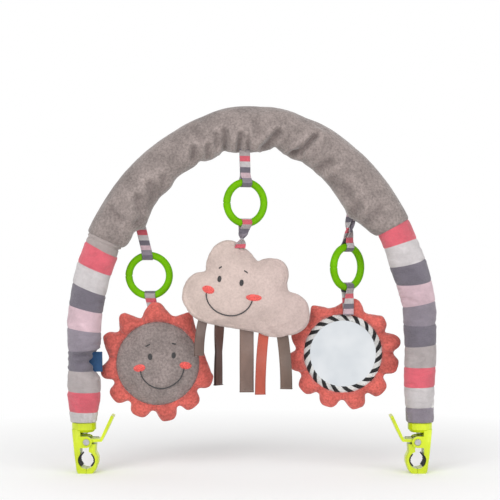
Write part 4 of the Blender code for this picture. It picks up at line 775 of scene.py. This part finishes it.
def build_leg(label, side, top):
    """Striped sleeve, from its first seam or from a level top down to the hem, where it is loose."""
    names = LEG_STRIPES[label]
    columns, row_pitch = 88, 0.0009
    angles = round_angles(columns)
    edges = [seam_place(seam, angles) for seam in LEG_SEAMS[label]] + [np.full(len(angles), HALF_LENGTH)]
    if top is not None:
        edges[0] = np.full(len(angles), top)
    rows, bands = [], []
    for index, (near, far) in enumerate(zip(edges, edges[1:])):
        steps = max(14, round(float((far - near).mean()) / row_pitch))
        rows += [near + (far - near) * step / steps for step in range(steps)]
        bands += [index] * steps
    rows += [np.full(len(angles), HALF_LENGTH - e) for e in (0.0006, 0.0002, 0)]
    bands += [len(names) - 1] * 2
    along = np.array(rows)
    angle = np.broadcast_to(angles, along.shape)
    distance = side * along
    outer, inner = (profile_of(table, along) for table in LEG_SWELL[label])
    plain = plain_radius(along)
    plain_from = 0.335 if side < 0 else 0.385
    blend = np.clip((along - plain_from) / 0.02, 0, 1)
    outer, inner = outer + blend * (plain - outer), inner + blend * (plain - inner)
    reach = swollen_radius(distance, angle, inner, outer)
    from_seam = np.min([np.abs(along - edge) for edge in edges[:-1]], axis=0)
    reach = reach - 0.0006 * bell(from_seam, 0.0011)
    points = arch_places(distance, angle, reach)
    tall = points * np.array([1, 1, 1.6])
    reach = reach + fold_change(points, leg_folds(side))
    reach = reach + mottle(points, (32, 0.0009)) + mottle(tall, (95, 0.0004))
    from_hem = HALF_LENGTH - along
    loose = np.clip(1 - from_hem / 0.020, 0, 1)
    reach = reach + 0.0005 * loose * np.cos(angle * 11 + 2 * np.sin(angle * 3))
    reach = reach - edge_roll(from_hem, 0.0015, 0.0012)
    lips = (-side * 0.0006, 0.0016), (side * 0.0001, 0.0034)
    distance, angle, reach = turn_in(distance, angle, reach, *lips)
    order = list(dict.fromkeys(names))
    bands = [order.index(names[band]) for band in (bands[0], *bands, bands[-1])]
    looks = [STRIPES[name] for name in order]
    piece = tube_piece(f"arch_leg_{label}", distance, angle, reach, looks, bands)
    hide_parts(f"striped_sleeve_{label}")


def build_tab():
    """Blank woven tab, folded double, in the crease of the left leg."""
    low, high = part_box("side_tab")
    near, far = low.x - 0.0100, high.x
    fold = 0.0010
    flat = np.linspace(near, far - fold, 12)
    bend = math.pi * np.arange(1, 8) / 8 - math.pi / 2
    x = np.concatenate([flat, far - fold + fold * np.cos(bend), flat[::-1]])
    layer = np.concatenate([-np.ones(len(flat)), np.sin(bend), np.ones(len(flat))])
    up = np.linspace(0, 1, 25)[:, None]
    share = (x - near) / (far - near)
    bend = 0.0011 * np.sin(math.pi * up * 1.3 + 0.4) * share
    gap = 0.00075 + 0.0004 * share * np.sin(math.pi * up)
    rows = np.stack(np.broadcast_arrays(x, bend + layer * gap, low.z + (high.z - low.z) * up), -1)
    uvs = np.stack(np.meshgrid(0.7 * np.arange(len(x)), 0.9 * np.arange(len(up))), -1)
    piece = skin("side_tab_cloth", rows, [NAVY], uvs=uvs)
    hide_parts("side_tab")


# Ribbons and rings
def level_frame(turn):
    """Directions along and square to a level line that is turned by an angle."""
    return Vector((math.cos(turn), math.sin(turn), 0)), Vector((-math.sin(turn), math.cos(turn), 0))


def ribbon_path(length, spread):
    """Line of (aside, away from the eye): down one layer from the root, round the bar and back up the other."""
    near = 1.75 * EYE_RADIUS
    rows, bend_rows = 110, 40
    straight = np.linspace(length, near, rows)
    asides = LAYER_ASIDE + (spread - LAYER_ASIDE) * (length - straight) / (length - near)
    opening = math.radians(30) + 100 * (spread - LAYER_ASIDE)
    bend = np.linspace(opening, math.tau - opening, bend_rows)
    line = list(zip(-asides, straight))
    line += [(-EYE_RADIUS * math.sin(a), EYE_RADIUS * math.cos(a)) for a in bend]
    line += list(zip(asides[::-1], straight[::-1]))
    line = np.array(line)
    for _ in range(3):
        line[1:-1] = (line[:-2] + 2 * line[1:-1] + line[2:]) / 4
    return line.tolist()


def stripe_bands(lengths, root, eye, coral, layer, pitch):
    """Stripe of each row: coral starts at a height on one layer, and the pattern runs down from there."""
    run = (root - eye).length
    drop = abs(root.z - coral) * run / abs(root.z - eye.z)
    anchor = drop if layer == 0 else lengths[-1] - drop
    sign = math.copysign(1, root.z - eye.z) * (1 if layer == 0 else -1)
    number = {key: i for i, key in enumerate(RIBBONS)}
    middles = [(a + b) / 2 for a, b in zip(lengths, lengths[1:])]
    return [number[PATTERN[math.floor(sign * (m - anchor) / pitch) % len(PATTERN)]] for m in middles]


def build_ribbon(
    name, node, body, label, eye, root, rests, coral,
    layer=0, pitch=0.0057, twist=0, done=1.0, spread=LAYER_ASIDE, bow_out=0.0, cup=0.0,
):
    """Striped ribbon folded round a ring's bar, both ends sewn in at the root.

    Coral starts at a height on the first or the last layer. The twist, in degrees, is done in a share of the
    way up. Spread is how far apart the layers leave the ring, bow_out how far they bow to the viewer, and cup
    how deep the edges curl in the twist, where the layers also close up.
    """
    turn = math.radians(RINGS[label][3])
    run = root - eye
    length = run.length
    sign = math.copysign(1, run.z)
    rows, uvs, lengths, travel = [], [], [], 0
    line = ribbon_path(length, spread)
    for index, (aside, away) in enumerate(line):
        if index:
            travel += math.dist(line[index - 1], line[index])
        lengths.append(travel)
        share = min(max((away - EYE_RADIUS) / (length - EYE_RADIUS), 0), 1)
        early = min(share / done, 1)
        eased = early * early * (3 - 2 * early)
        along, square = level_frame(turn * (1 - share) + math.radians(twist) * eased)
        axis = eye + (run * (away / length) if away > 0 else sign * away * UP)
        middle = axis + aside * square - bow_out * math.sin(math.pi * share) * AWAY
        squeeze = 1 - 0.22 * math.sin(math.pi * share) ** 2 * min(abs(twist) / 180, 1)
        deep = 0.0004 * min(share * 3, 1) + cup * math.sin(math.pi * early)
        if cup:
            middle -= 0.65 * math.sin(math.pi * early) * aside * square
        across, curl = RIBBON_WIDTH / 2 * squeeze * along, math.copysign(deep, aside) * square
        rows.append([middle + s * across + s * s * curl for s in ACROSS])
        uvs.append([(step * 0.9, travel * 1000) for step in range(len(ACROSS))])
    bands = stripe_bands(lengths, root, eye, coral, layer, pitch)
    piece = skin(name, rows, list(RIBBONS.values()), bands, body, uvs=uvs)
    thicken(piece, 0.0006)
    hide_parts(node)
    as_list(rests)


def ring_eye(label, end, shift):
    """Where a ribbon turns round a ring's bar, at its top (1) or bottom (-1), shifted aside."""
    x, depth, z, _ = RINGS[label]
    return Vector((x, depth, z + end * RING_RADIUS)) + Vector((shift, 0, 0))


def build_hangers():
    for label, (root, sunk, shift, form) in HANGERS.items():
        eye = ring_eye(label, 1, shift)
        direction = Vector(root) - eye
        root = eye + direction * (1 + sunk / direction.length)
        rests = [f"ring_{label}", "arch_plush"]
        build_ribbon(f"hanger_{label}", f"hanger_ribbon_{label}", "arch", label, eye, root, rests, **form)


def build_toy_straps():
    for label, (toy, root, shift, form) in TOY_STRAPS.items():
        eye = ring_eye(label, -1, shift)
        rests = [f"snap_ring_{label}", f"{toy}_body"]
        build_ribbon(f"toy_strap_{label}", f"toy_ribbon_{label}", toy, label, eye, root, rests, **form)


def build_rings():
    """Smooth rings, a little thicker on both sides of a narrow split."""
    count, sides = 200, 32
    collar, split = 0.0050, 0.0004
    for label, (x, depth, z, degrees) in RINGS.items():
        along, _ = level_frame(math.radians(degrees))
        normal = along.cross(UP)
        centre = Vector((x, depth, z))
        rows = []
        for step in range(count + 1):
            angle = math.pi + math.tau * (step % count) / count
            outward = math.cos(angle) * along + math.sin(angle) * UP
            from_split = min(angle - math.pi, 3 * math.pi - angle) * RING_RADIUS
            wire = WIRE_RADIUS
            if from_split < collar:
                wire += 0.00012
            if from_split < split:
                wire -= 0.0006
            row = []
            for side in range(sides):
                around = math.tau * side / sides
                reach = RING_RADIUS + wire * (1 - 0.04 * math.cos(around) ** 2) * math.cos(around)
                row.append(centre + reach * outward + wire * math.sin(around) * normal)
            rows.append(row)
        piece = skin(f"snap_ring_{label}", rows, [GREEN], body=f"ring_{label}", closed=True)
        weld(piece)
        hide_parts(f"ring_{label}")


# Stuffed toys
def outline_of(edge):
    """Distance to the edge in each direction, smooth through (degrees, mm) points all the way round."""
    points = [(r / 1000 * math.cos(math.radians(d)), r / 1000 * math.sin(math.radians(d))) for d, r in edge]
    points = np.array(points)
    curve = spline(np.concatenate([points[-1:], points, points[:2]]), 16)
    angles, reach = np.arctan2(curve[:, 1], curve[:, 0]), np.hypot(curve[:, 0], curve[:, 1])
    order = np.argsort(angles)
    angles, reach = angles[order], reach[order]
    angles = np.concatenate([angles - math.tau, angles, angles + math.tau])
    table = np.interp(ALL_ROUND, angles, np.tile(reach, 3))
    table = (np.roll(table[:-1], 1) + 2 * table[:-1] + np.roll(table[:-1], -1)) / 4
    table = np.append(table, table[0])
    count = len(ALL_ROUND) - 1

    def outline(angle):
        place = ((angle + math.pi) % math.tau) / math.tau * count
        low = int(place) % count
        return float(table[low] + (table[low + 1] - table[low]) * (place - int(place)))

    return outline


def with_hidden_rays(edge, hidden, tip, valley):
    """Seen part of a sun's edge, completed with like rays at the given middle angles."""
    seen_low, seen_high = edge[0][0], edge[-1][0]
    chance = random.Random(len(edge))
    points = list(edge)
    for low, high in zip(hidden, hidden[1:] + (hidden[0] + 360,)):
        size = tip * chance.uniform(0.97, 1.02)
        middle = (low + high) / 2
        for degrees, reach in (
            (low - 6, size - 0.6), (low - 2, size), (low + 2, size), (low + 6, size - 0.6),
            (low + 10, size * 0.93), (middle - 2.5, valley), (middle + 2.5, valley), (high - 10, size * 0.93),
        ):
            around = degrees % 360
            if (around - seen_low) % 360 > seen_high - seen_low + 3 and (seen_low - around) % 360 > 3:
                points.append((around, reach))
    return tuple(sorted(points))


def solve_pillow(outline, extent, hole=0):
    """Height of an inflated sheet over an outline, up to a scale, as a sampler of points in its plane."""
    step, rounds = 0.001, 2600
    count = int(2 * extent / step) + 1
    axis = np.linspace(-extent, extent, count)
    x, z = np.meshgrid(axis, axis, indexing="ij")
    distance = np.hypot(x, z)
    edge = np.interp(np.arctan2(z, x), ALL_ROUND, [outline(a) for a in ALL_ROUND])
    inside = (distance < edge) & (distance >= hole)
    level = np.zeros_like(x)
    for _ in range(rounds):
        level[1:-1, 1:-1] = (level[2:, 1:-1] + level[:-2, 1:-1] + level[1:-1, 2:] + level[1:-1, :-2] + 1) / 4
        level[~inside] = 0
    height = np.sqrt(level)
    height /= height.max()

    def sample(*place):
        fx, fz = (min(max((p + extent) / (2 * extent) * (count - 1), 0), count - 1.001) for p in place)
        i, k = int(fx), int(fz)
        u, v = fx - i, fz - k
        near = height[i, k] * (1 - u) + height[i + 1, k] * u
        far = height[i, k + 1] * (1 - u) + height[i + 1, k + 1] * u
        return near * (1 - v) + far * v

    return sample


def square_to_disc(u, v):
    """Share of the way out and the angle for a place in a square that is bent round into a disc."""
    if u == 0 and v == 0:
        return 0, 0
    if abs(u) >= abs(v):
        return abs(u), (math.pi / 4) * (v / u) + (0 if u > 0 else math.pi)
    return abs(v), math.pi / 2 - (math.pi / 4) * (u / v) + (0 if v > 0 else math.pi)


def stuffed_mesh(name, centre, inner, outer, rays, height, looks, body):
    """Closed stuffed form: a bent grid inside the first edge and rows of rays beyond it, front and back.

    The first look is that of a front that has rays round it, or of all of a form without rays. With the piece
    come the numbers of its points on the rim and in the seams.
    """
    half = 26
    size = 2 * half
    points, faces, indices = [], [], []
    lap = [(size, k) for k in range(size)] + [(size - k, size) for k in range(size)]
    lap += [(0, size - k) for k in range(size)] + [(k, 0) for k in range(size)]
    border = lap[half:] + lap[:half]
    angles = [square_to_disc(i / half - 1, k / half - 1)[1] for i, k in border]
    rim, seams = [], []

    def add(reach, angle, depth):
        points.append(tuple(centre + Vector((reach * math.cos(angle), depth, reach * math.sin(angle)))))
        return len(points) - 1

    for side in (-1, 1):
        grid = {}
        for i in range(size + 1):
            for k in range(size + 1):
                share, angle = square_to_disc(i / half - 1, k / half - 1)
                last = not rays and max(abs(i - half), abs(k - half)) == half
                if not (last and rim):
                    reach = inner(angle) * math.sin(math.pi / 2 * share)
                    grid[i, k] = add(reach, angle, 0 if last else side * height(reach, angle, side))
        if not rays and rim:
            grid.update(zip(border, rim))
        previous = [grid[place] for place in border]
        if rays:
            seams += previous
        else:
            rim = previous
        for i in range(size):
            for k in range(size):
                faces.append((grid[i, k], grid[i + 1, k], grid[i + 1, k + 1], grid[i, k + 1]))
                indices.append(0 if side < 0 or not rays else 1)
        for number in range(1, rays + 1):
            share = math.sin(math.pi / 2 * number / rays)
            last = number == rays
            ring = rim if last and rim else []
            if not ring:
                for angle in angles:
                    reach = inner(angle) + (outer(angle) - inner(angle)) * share
                    ring.append(add(reach, angle, 0 if last else side * height(reach, angle, side)))
            if last:
                rim = ring
            for step in range(len(border)):
                after = (step + 1) % len(border)
                faces.append((previous[step], ring[step], ring[after], previous[after]))
                indices.append(1)
            previous = ring
    return add_piece(name, points, faces, looks, body, indices), rim, seams


def inflate(piece, pinned, pressure):
    """Cloth under pressure with its seams held, so that the panels puff and pucker, by so far at most."""
    frames, furthest = 18, 0.0025
    start = [vertex.co.copy() for vertex in piece.data.vertices]
    group = piece.vertex_groups.new(name="seam")
    group.add(pinned, 1.0, "REPLACE")
    cloth = piece.modifiers.new("cloth", "CLOTH")
    for setting, value in {
        "quality": 6, "mass": 0.15, "tension_stiffness": 12, "compression_stiffness": 12, "shear_stiffness": 4,
        "bending_stiffness": 0.08, "vertex_group_mass": "seam", "shrink_min": -0.03, "use_pressure": True,
        "uniform_pressure_force": pressure,
    }.items():
        setattr(cloth.settings, setting, value)
    cloth.settings.effector_weights.gravity = 0
    cloth.point_cache.frame_start = 1
    cloth.point_cache.frame_end = frames
    scene = bpy.context.scene
    for number in range(1, frames + 1):
        scene.frame_set(number)
    shaped = piece.evaluated_get(bpy.context.evaluated_depsgraph_get()).to_mesh()
    moved = [vertex.co.copy() for vertex in shaped.vertices]
    piece.modifiers.remove(cloth)
    piece.vertex_groups.clear()
    for vertex, was, now in zip(piece.data.vertices, start, moved):
        step = now - was
        if step.length > furthest:
            step *= furthest / step.length
        vertex.co = was + step
    scene.frame_set(1)


def from_valleys(valleys, angle, reach):
    """Distance to the nearest of the directions in which the edge has a valley."""
    return np.abs((valleys - angle + math.pi) % math.tau - math.pi).min() * reach


def rounding(share, start):
    """1 up to a share of the way out, then a quarter of an ellipse down to nothing at the edge."""
    return math.sqrt(max(1 - ((share - start) / (1 - start)) ** 2, 0)) if share > start else 1


def build_cloud():
    outline = outline_of(CLOUD_EDGE)
    sample = solve_pillow(outline, 0.082)
    valleys = np.radians(CLOUD_VALLEYS)
    crown, round_from = 0.0180, 0.93

    def height(reach, angle, side):
        share = reach / outline(angle)
        at = outline(angle) * min(share, round_from)
        value = crown * sample(at * math.cos(angle), at * math.sin(angle)) * rounding(share, round_from)
        pucker = noise.noise(Vector((math.cos(angle) * 9, math.sin(angle) * 9, side * 3.0)))
        x, z = reach * math.cos(angle), reach * math.sin(angle)
        dimple = bell(x + 0.0050, 0.010) * bell(z - 0.042, 0.008)
        value *= 1 - 0.30 * bell(from_valleys(valleys, angle, reach), 0.0035) * math.exp(-(1 - share) / 0.22)
        return max(value * (1 + 0.16 * math.exp(-(1 - share) / 0.12) * pucker) - 0.0030 * dimple, THINNEST)

    piece, rim, _ = stuffed_mesh("cloud_body", CLOUD, outline, outline, 0, height, [CLOUD_PINK], "cloud")
    inflate(piece, rim, 1.6)
    subdivide(piece)
    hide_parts("cloud_front_panel", "cloud_back_panel", "cloud_filling")
    return piece


def build_sun(name, centre, edge, disc, crown, ray_crown, seam, looks, body):
    """Stuffed disc in a ring of plump rays, sunk in a seam all round it; also the points that a sim holds."""
    outline = outline_of(edge)
    sample = solve_pillow(outline, 0.070, hole=disc)
    around = np.linspace(0, math.tau, 721)[:-1]
    edges = np.array([outline(a) for a in around])
    valleys = around[[edges[i] <= np.roll(edges, 14 - i)[:29].min() for i in range(len(around))]]
    round_from = 0.90

    def height(reach, angle, side):
        if reach <= disc:
            return seam + (crown - seam) * math.sqrt(max(1 - (reach / disc) ** 2, 0))
        width = outline(angle) - disc
        share = (reach - disc) / max(width, 1e-6)
        inner = min(share, round_from)
        at = disc + inner * width
        value = ray_crown * sample(at * math.cos(angle), at * math.sin(angle))
        gather = noise.noise(Vector((math.cos(angle) * 11, math.sin(angle) * 11, side * 2.0)))
        value += seam * (1 - inner) ** 1.5 + 0.0012 * gather * math.exp(-inner * 3)
        value *= 1 - 0.42 * bell(from_valleys(valleys, angle, reach), 0.0022)
        return max(value * rounding(share, round_from), THINNEST)

    piece, rim, seams = stuffed_mesh(name, centre, lambda angle: disc, outline, 11, height, looks, body)
    return piece, rim + seams


def build_face_sun():
    name = "face_sun_body"
    edge = with_hidden_rays(FACE_EDGE, FACE_HIDDEN, 61.5, 51.0)
    looks = [FACE_GREY, CORAL]
    piece, pinned = build_sun(name, FACE_SUN, edge, 0.0430, 0.0155, 0.0078, 0.0028, looks, "face_sun")
    inflate(piece, pinned, 1.8)
    subdivide(piece)
    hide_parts("face_sun_front_panel", "face_sun_back_panel", "face_sun_rays", "face_sun_filling")
    return piece


def build_mirror_sun():
    name = "mirror_sun_body"
    edge = with_hidden_rays(MIRROR_EDGE, MIRROR_HIDDEN, 59.5, 50.0)
    looks = [CORAL, CORAL]
    piece, pinned = build_sun(name, MIRROR_SUN, edge, 0.0400, 0.0120, 0.0080, 0.0026, looks, "mirror_sun")

    def flatten():
        for vertex in piece.data.vertices:
            offset = vertex.co - MIRROR_SUN
            if math.hypot(offset.x, offset.z) < 0.0402 and offset.y < 0:
                vertex.co.y = MIRROR_SUN.y - 0.0004

    flatten()
    inflate(piece, pinned, 1.8)
    flatten()
    subdivide(piece)
    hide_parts("mirror_sun_back_panel", "mirror_sun_rays", "mirror_sun_filling")


def build_binding():
    """Tape bound round the mirror, striped on the slant and slightly gathered."""
    columns, stripes, black_share, slant = 200, 19, 0.46, 0.21
    inner, outer, middle, width = 0.0346, 0.0418, 0.0385, 0.0125
    profile = []
    for share in np.linspace(0, 1, 17).tolist():
        dome = math.sin(math.pi * min(max(share, 0.02), 0.98)) ** 0.55
        profile.append((inner + (outer - inner) * share, -0.0024 - 0.0030 * dome, share))
    profile += [(outer + 0.0002, -0.0016, 1.05), (outer + 0.0001, -0.0002, 1.15)]
    rows = []
    for step in range(columns + 1):
        row = []
        for radius, depth, share in profile:
            angle = math.tau * step / columns + slant * share
            gather = 0.00028 * math.sin(angle * 57) * math.sin(math.pi * min(share, 1))
            gather += 0.0003 * noise.noise(Vector((math.cos(angle) * 4, math.sin(angle) * 4, share)))
            r = radius + 0.0003 * noise.noise(Vector((math.cos(angle) * 9, math.sin(angle) * 9, 5)))
            row.append(MIRROR_SUN + Vector((r * math.cos(angle), depth - gather, r * math.sin(angle))))
        rows.append(row)
    bands = [0 if (step * stripes / columns) % 1 < black_share else 1 for step in range(columns)]
    piece = skin("mirror_binding_tape", rows, TAPE, bands, "mirror_sun")
    weld(piece)
    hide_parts("mirror_binding")


# Embroidery
def front_tree(piece):
    """Faces of a piece as it is drawn, for stitches to lie on."""
    bpy.context.view_layer.update()
    return BVHTree.FromObject(piece, bpy.context.evaluated_depsgraph_get())


def on_front(tree, x, z, lift):
    hit, normal, _, _ = tree.ray_cast(Vector((x, -0.2, z)), AWAY)
    if hit is None:
        hit, normal, _, _ = tree.find_nearest(Vector((x, -0.02, z)))
    if normal.y > 0:
        normal = -normal
    return hit + normal * lift


def strand_rows(points, radius, sides):
    """Round thread along some points."""
    rows = []
    turns = [math.tau * side / sides for side in range(sides)]
    for before, point, after in zip([points[0], *points], points, [*points[1:], points[-1]]):
        heading = (after - before).normalized()
        level = heading.cross(AWAY).normalized()
        up = level.cross(heading)
        rows.append([point + radius * (math.cos(a) * level + math.sin(a) * up) for a in turns])
    return rows


def stitched(name, tree, body, strands, look, radius):
    """One mesh of embroidery threads, each a list of (x, z) places on the front."""
    sides = 6
    points, faces = [], []
    for strand in strands:
        path = []
        for index, (x, z) in enumerate(strand):
            rise = math.sin(math.pi * index / (len(strand) - 1)) ** 0.5
            path.append(on_front(tree, x, z, radius * (1.5 * rise - 0.6)))
        faces += (len(points) + grid_faces(len(path), sides, True)).tolist()
        for row in strand_rows(path, radius, sides):
            points += [tuple(point) for point in row]
    add_piece(name, points, faces, [look], body)


def satin_oval(oval, depth, across_threads):
    """Threads that fill a tilted oval, across it or upright."""
    column, row, half_x, half_y, tilt = oval
    x0, z0 = photo_place(column, row, depth)
    half_x, half_y = 0.001 * half_x, 0.001 * half_y
    cos, sin = math.cos(tilt), math.sin(tilt)
    pitch = 0.00055
    count = max(3, int(2 * (half_y if across_threads else half_x) / pitch))
    strands = []
    for index in range(count):
        t = -1 + 2 * (index + 0.5) / count
        s = math.sqrt(1 - t * t) * np.linspace(-1, 1, 7)
        u, v = (s * half_x, t * half_y) if across_threads else (t * half_x, s * half_y)
        strands.append(np.stack([x0 + u * cos - v * sin, z0 + u * sin + v * cos], -1).tolist())
    return strands


def brow_threads(start, end):
    """Two short threads, one over the other."""
    shift = 0.00035
    line = np.linspace(start, end, 6)
    return [(line + (0, offset)).tolist() for offset in (-shift, shift)]


def stitch_line(places):
    """Back-stitches along a smooth line through some places."""
    stitch, lap = 0.0024, 0.12
    places = [np.array(place) for place in places]
    places = np.array([*spline([places[0], *places, places[-1]], 8), places[-1]])
    lengths = np.concatenate([[0], np.cumsum(np.hypot(*np.diff(places, axis=0).T))])
    strands = []
    count = max(1, round(lengths[-1] / stitch))
    for index in range(count):
        near = lengths[-1] * index / count - stitch * lap
        far = lengths[-1] * (index + 1) / count + stitch * lap
        along = np.linspace(near, far, 6)
        strands.append(np.stack([np.interp(along, lengths, axis) for axis in places.T], -1).tolist())
    return strands


def sew_face(piece, body, face, depth):
    """Face at places in the photograph's pixels, on a front that lies at a depth."""
    threads = []
    for label, oval in zip(SIDES, face["eyes"]):
        threads.append((f"eye_{label}", satin_oval(oval, depth, True), THREAD_DARK, 0.00042))
    for label, ends in zip(SIDES, face["brows"]):
        strands = brow_threads(*(photo_place(*end, depth) for end in ends))
        threads.append((f"brow_{label}", strands, THREAD_DARK, 0.00040))
    for label, oval in zip(SIDES, face["cheeks"]):
        threads.append((f"cheek_{label}", satin_oval(oval, depth, False), THREAD_CORAL, 0.00042))
    smile = stitch_line([photo_place(*place, depth) for place in face["smile"]])
    threads.append(("smile", smile, THREAD_DARK, 0.00068))
    tree = front_tree(piece)
    for part, strands, look, radius in threads:
        stitched(f"{body}_{part}", tree, body, strands, look, radius)


# Rain
def build_rain():
    """Ribbon loops sewn into the cloud's lower seam."""
    chance = random.Random(4)
    for number, (share, width, yaw, lean, rgb, slot) in enumerate(STRIPS, 1):
        low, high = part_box(f"rain_strip_{number}")
        x0 = CLOUD.x + share * CLOUD_WIDTH
        top = high.z + 0.002
        bottom = max(low.z + 0.0012, FIRST_STRIP_END if number == 1 else 0)
        run = top - bottom
        down = [(-0.00065, top - run * k / 40) for k in range(41)]
        fold = []
        for k in range(1, 12):
            a = math.pi * k / 12
            fold.append((-0.0012 * math.cos(a) * (1 if k in (1, 11) else 1.15), bottom - 0.0010 * math.sin(a)))
        up = [(0.00065, bottom + run * k / 40) for k in range(41)]
        phase = chance.uniform(0, 6)
        rows, uvs, travel, before = [], [], 0, None
        for aside, height in down + fold + up:
            drop = (top - height) / run
            wave = 0.0016 * math.sin(6.2 * drop + phase) * min(drop * 2, 1)
            spread = aside * (1 + 1.1 * min(max(drop, 0), 1))
            turn = math.radians(yaw) * min(max(drop * 2.2, 0), 1) + 0.10 * math.sin(5 * drop + phase)
            along, square = level_frame(turn)
            middle = Vector((x0 + lean * (1 - (1 - drop) ** 2), CLOUD.y + wave, height)) + spread * square
            travel += (middle - before).length if before else 0
            before = middle
            across, cup = width / 2 * along, 0.0005 * math.sin(4 * drop + phase) * square
            rows.append([middle + s * across + math.cos(math.pi / 2 * s) * cup for s in ACROSS])
            uvs.append([(step * 1.2, travel * 1000) for step in range(len(ACROSS))])
        # The strip's colour carries painted shade and a painted brown reflection.
        look = satin_look(f"satin_{number}", rgb)
        piece = skin(f"rain_ribbon_{number}", rows, [look], None, "cloud", uvs=uvs)
        thicken(piece, 0.0003)
        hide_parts(f"rain_strip_{number}")


# Hard nodes that come with the frame
def dress(node, look, bevel=0.0):
    item = NODES[node]
    item.data.materials.clear()
    item.data.materials.append(look)
    if bevel:
        modifier = item.modifiers.new("edge", "BEVEL")
        modifier.width = bevel
        modifier.segments = 3
        modifier.limit_method = "ANGLE"
        modifier.angle_limit = math.radians(40)
        modifier.harden_normals = True


def dress_frame():
    for label in SIDES:
        for part in ("clip_body", "clip_lever"):
            dress(f"{part}_{label}", LIME, 0.0004)
        for part in ("clip_pin", "clip_spring", "swivel_screw"):
            dress(f"{part}_{label}", STEEL)
        for part in ("clip_pad_outer", "clip_pad_inner"):
            dress(f"{part}_{label}", RUBBER)
        dress(f"leg_plug_{label}", WHITE_PLASTIC)
    dress("core_rod", STEEL)
    dress("cloud_squeaker", WHITE_PLASTIC)
    dress("face_sun_rattle", WHITE_PLASTIC)
    dress("mirror_disc", MIRROR)


# Stage, lights and camera
def seen_share(tree):
    """1 for a ray that shows the background: straight from the camera, or by way of gloss or glass."""
    path = add_node(tree, "ShaderNodeLightPath")
    share = path.outputs["Is Camera Ray"]
    for other in ("Is Glossy Ray", "Is Transmission Ray"):
        most = add_node(tree, "ShaderNodeMath", "MAXIMUM")
        tree.links.new(share, most.inputs[0])
        tree.links.new(path.outputs[other], most.inputs[1])
        share = most.outputs[0]
    return share


def mix_shaders(tree, share, shaders, surface):
    mix = add_node(tree, "ShaderNodeMixShader")
    tree.links.new(share, mix.inputs["Fac"])
    for shader, socket in zip(shaders, mix.inputs[1:]):
        tree.links.new(shader.outputs[0], socket)
    tree.links.new(mix.outputs[0], surface)


def build_stage():
    """Pale floor that turns white a short way from the object, on every side."""
    half, floor_z = 9, CAD_BOX[0][2]
    corners = [(x, y, floor_z) for x, y in ((-half, -half), (half, -half), (half, half), (-half, half))]
    mesh = bpy.data.meshes.new("stage")
    mesh.from_pydata(corners, [], [(0, 1, 2, 3)])
    look = Look("stage_white", (0, 0, 0), 0.9)
    tree = look.tree
    set_sockets(look.shader, {"Base Color": (0.93, 0.93, 0.93, 1)})
    glow = add_node(tree, "ShaderNodeEmission", Color=(1, 1, 1, 1))
    away = add_node(tree, "ShaderNodeVectorMath", "LENGTH")
    tree.links.new(add_node(tree, "ShaderNodeNewGeometry").outputs["Position"], away.inputs[0])
    reach = add_node(tree, "ShaderNodeMapRange", From_Min=0.20, From_Max=0.60)
    tree.links.new(away.outputs["Value"], reach.inputs["Value"])
    share = add_node(tree, "ShaderNodeMath", "MULTIPLY")
    tree.links.new(seen_share(tree), share.inputs[0])
    tree.links.new(reach.outputs["Result"], share.inputs[1])
    mix_shaders(tree, share.outputs[0], (look.shader, glow), tree.nodes["Material Output"].inputs["Surface"])
    mesh.materials.append(look.material)
    add_object("stage", mesh)


def build_world(strength):
    world = bpy.data.worlds.new("studio")
    bpy.context.scene.world = world
    world.use_nodes = True
    tree = world.node_tree
    plain = set_sockets(tree.nodes["Background"], {"Color": (1, 1, 1, 1), "Strength": strength})
    white = add_node(tree, "ShaderNodeBackground", Color=(1, 1, 1, 1), Strength=1)
    mix_shaders(tree, seen_share(tree), (plain, white), tree.nodes["World Output"].inputs["Surface"])


def build_lamp(name, place, aim, size, power):
    lamp = bpy.data.lights.new(name, "AREA")
    lamp.energy = power
    lamp.size = size
    item = add_object(name, lamp)
    item.location = place
    item.rotation_euler = (Vector(aim) - Vector(place)).to_track_quat("-Z", "Y").to_euler()


def build_camera():
    camera = bpy.data.cameras.new("camera")
    camera.sensor_width = 36
    camera.lens = 103
    item = add_object("camera", camera)
    item.location = CAMERA
    item.rotation_euler = (math.pi / 2, 0, 0)
    bpy.context.scene.camera = item


def main():
    bpy.context.scene.view_settings.view_transform = "Standard"
    build_camera()
    build_plush()
    build_cuff()
    build_leg("left", -1, None)
    build_leg("right", 1, PLUSH_END)
    build_tab()
    build_hangers()
    build_rings()
    cloud = build_cloud()
    face_sun = build_face_sun()
    build_mirror_sun()
    build_binding()
    sew_face(cloud, "cloud", CLOUD_FACE, CLOUD_DEPTH - 0.017)
    sew_face(face_sun, "face_sun", SUN_FACE, SUN_DEPTH - 0.015)
    build_toy_straps()
    build_rain()
    dress_frame()
    build_stage()
    build_world(0.72)
    build_lamp("key", (-0.8, -1.75, 1.15), (0, 0, 0.18), 1.2, 21)
    build_lamp("fill", (1.1, -1.4, 0.7), (0, 0, 0.15), 1.4, 11)


main()
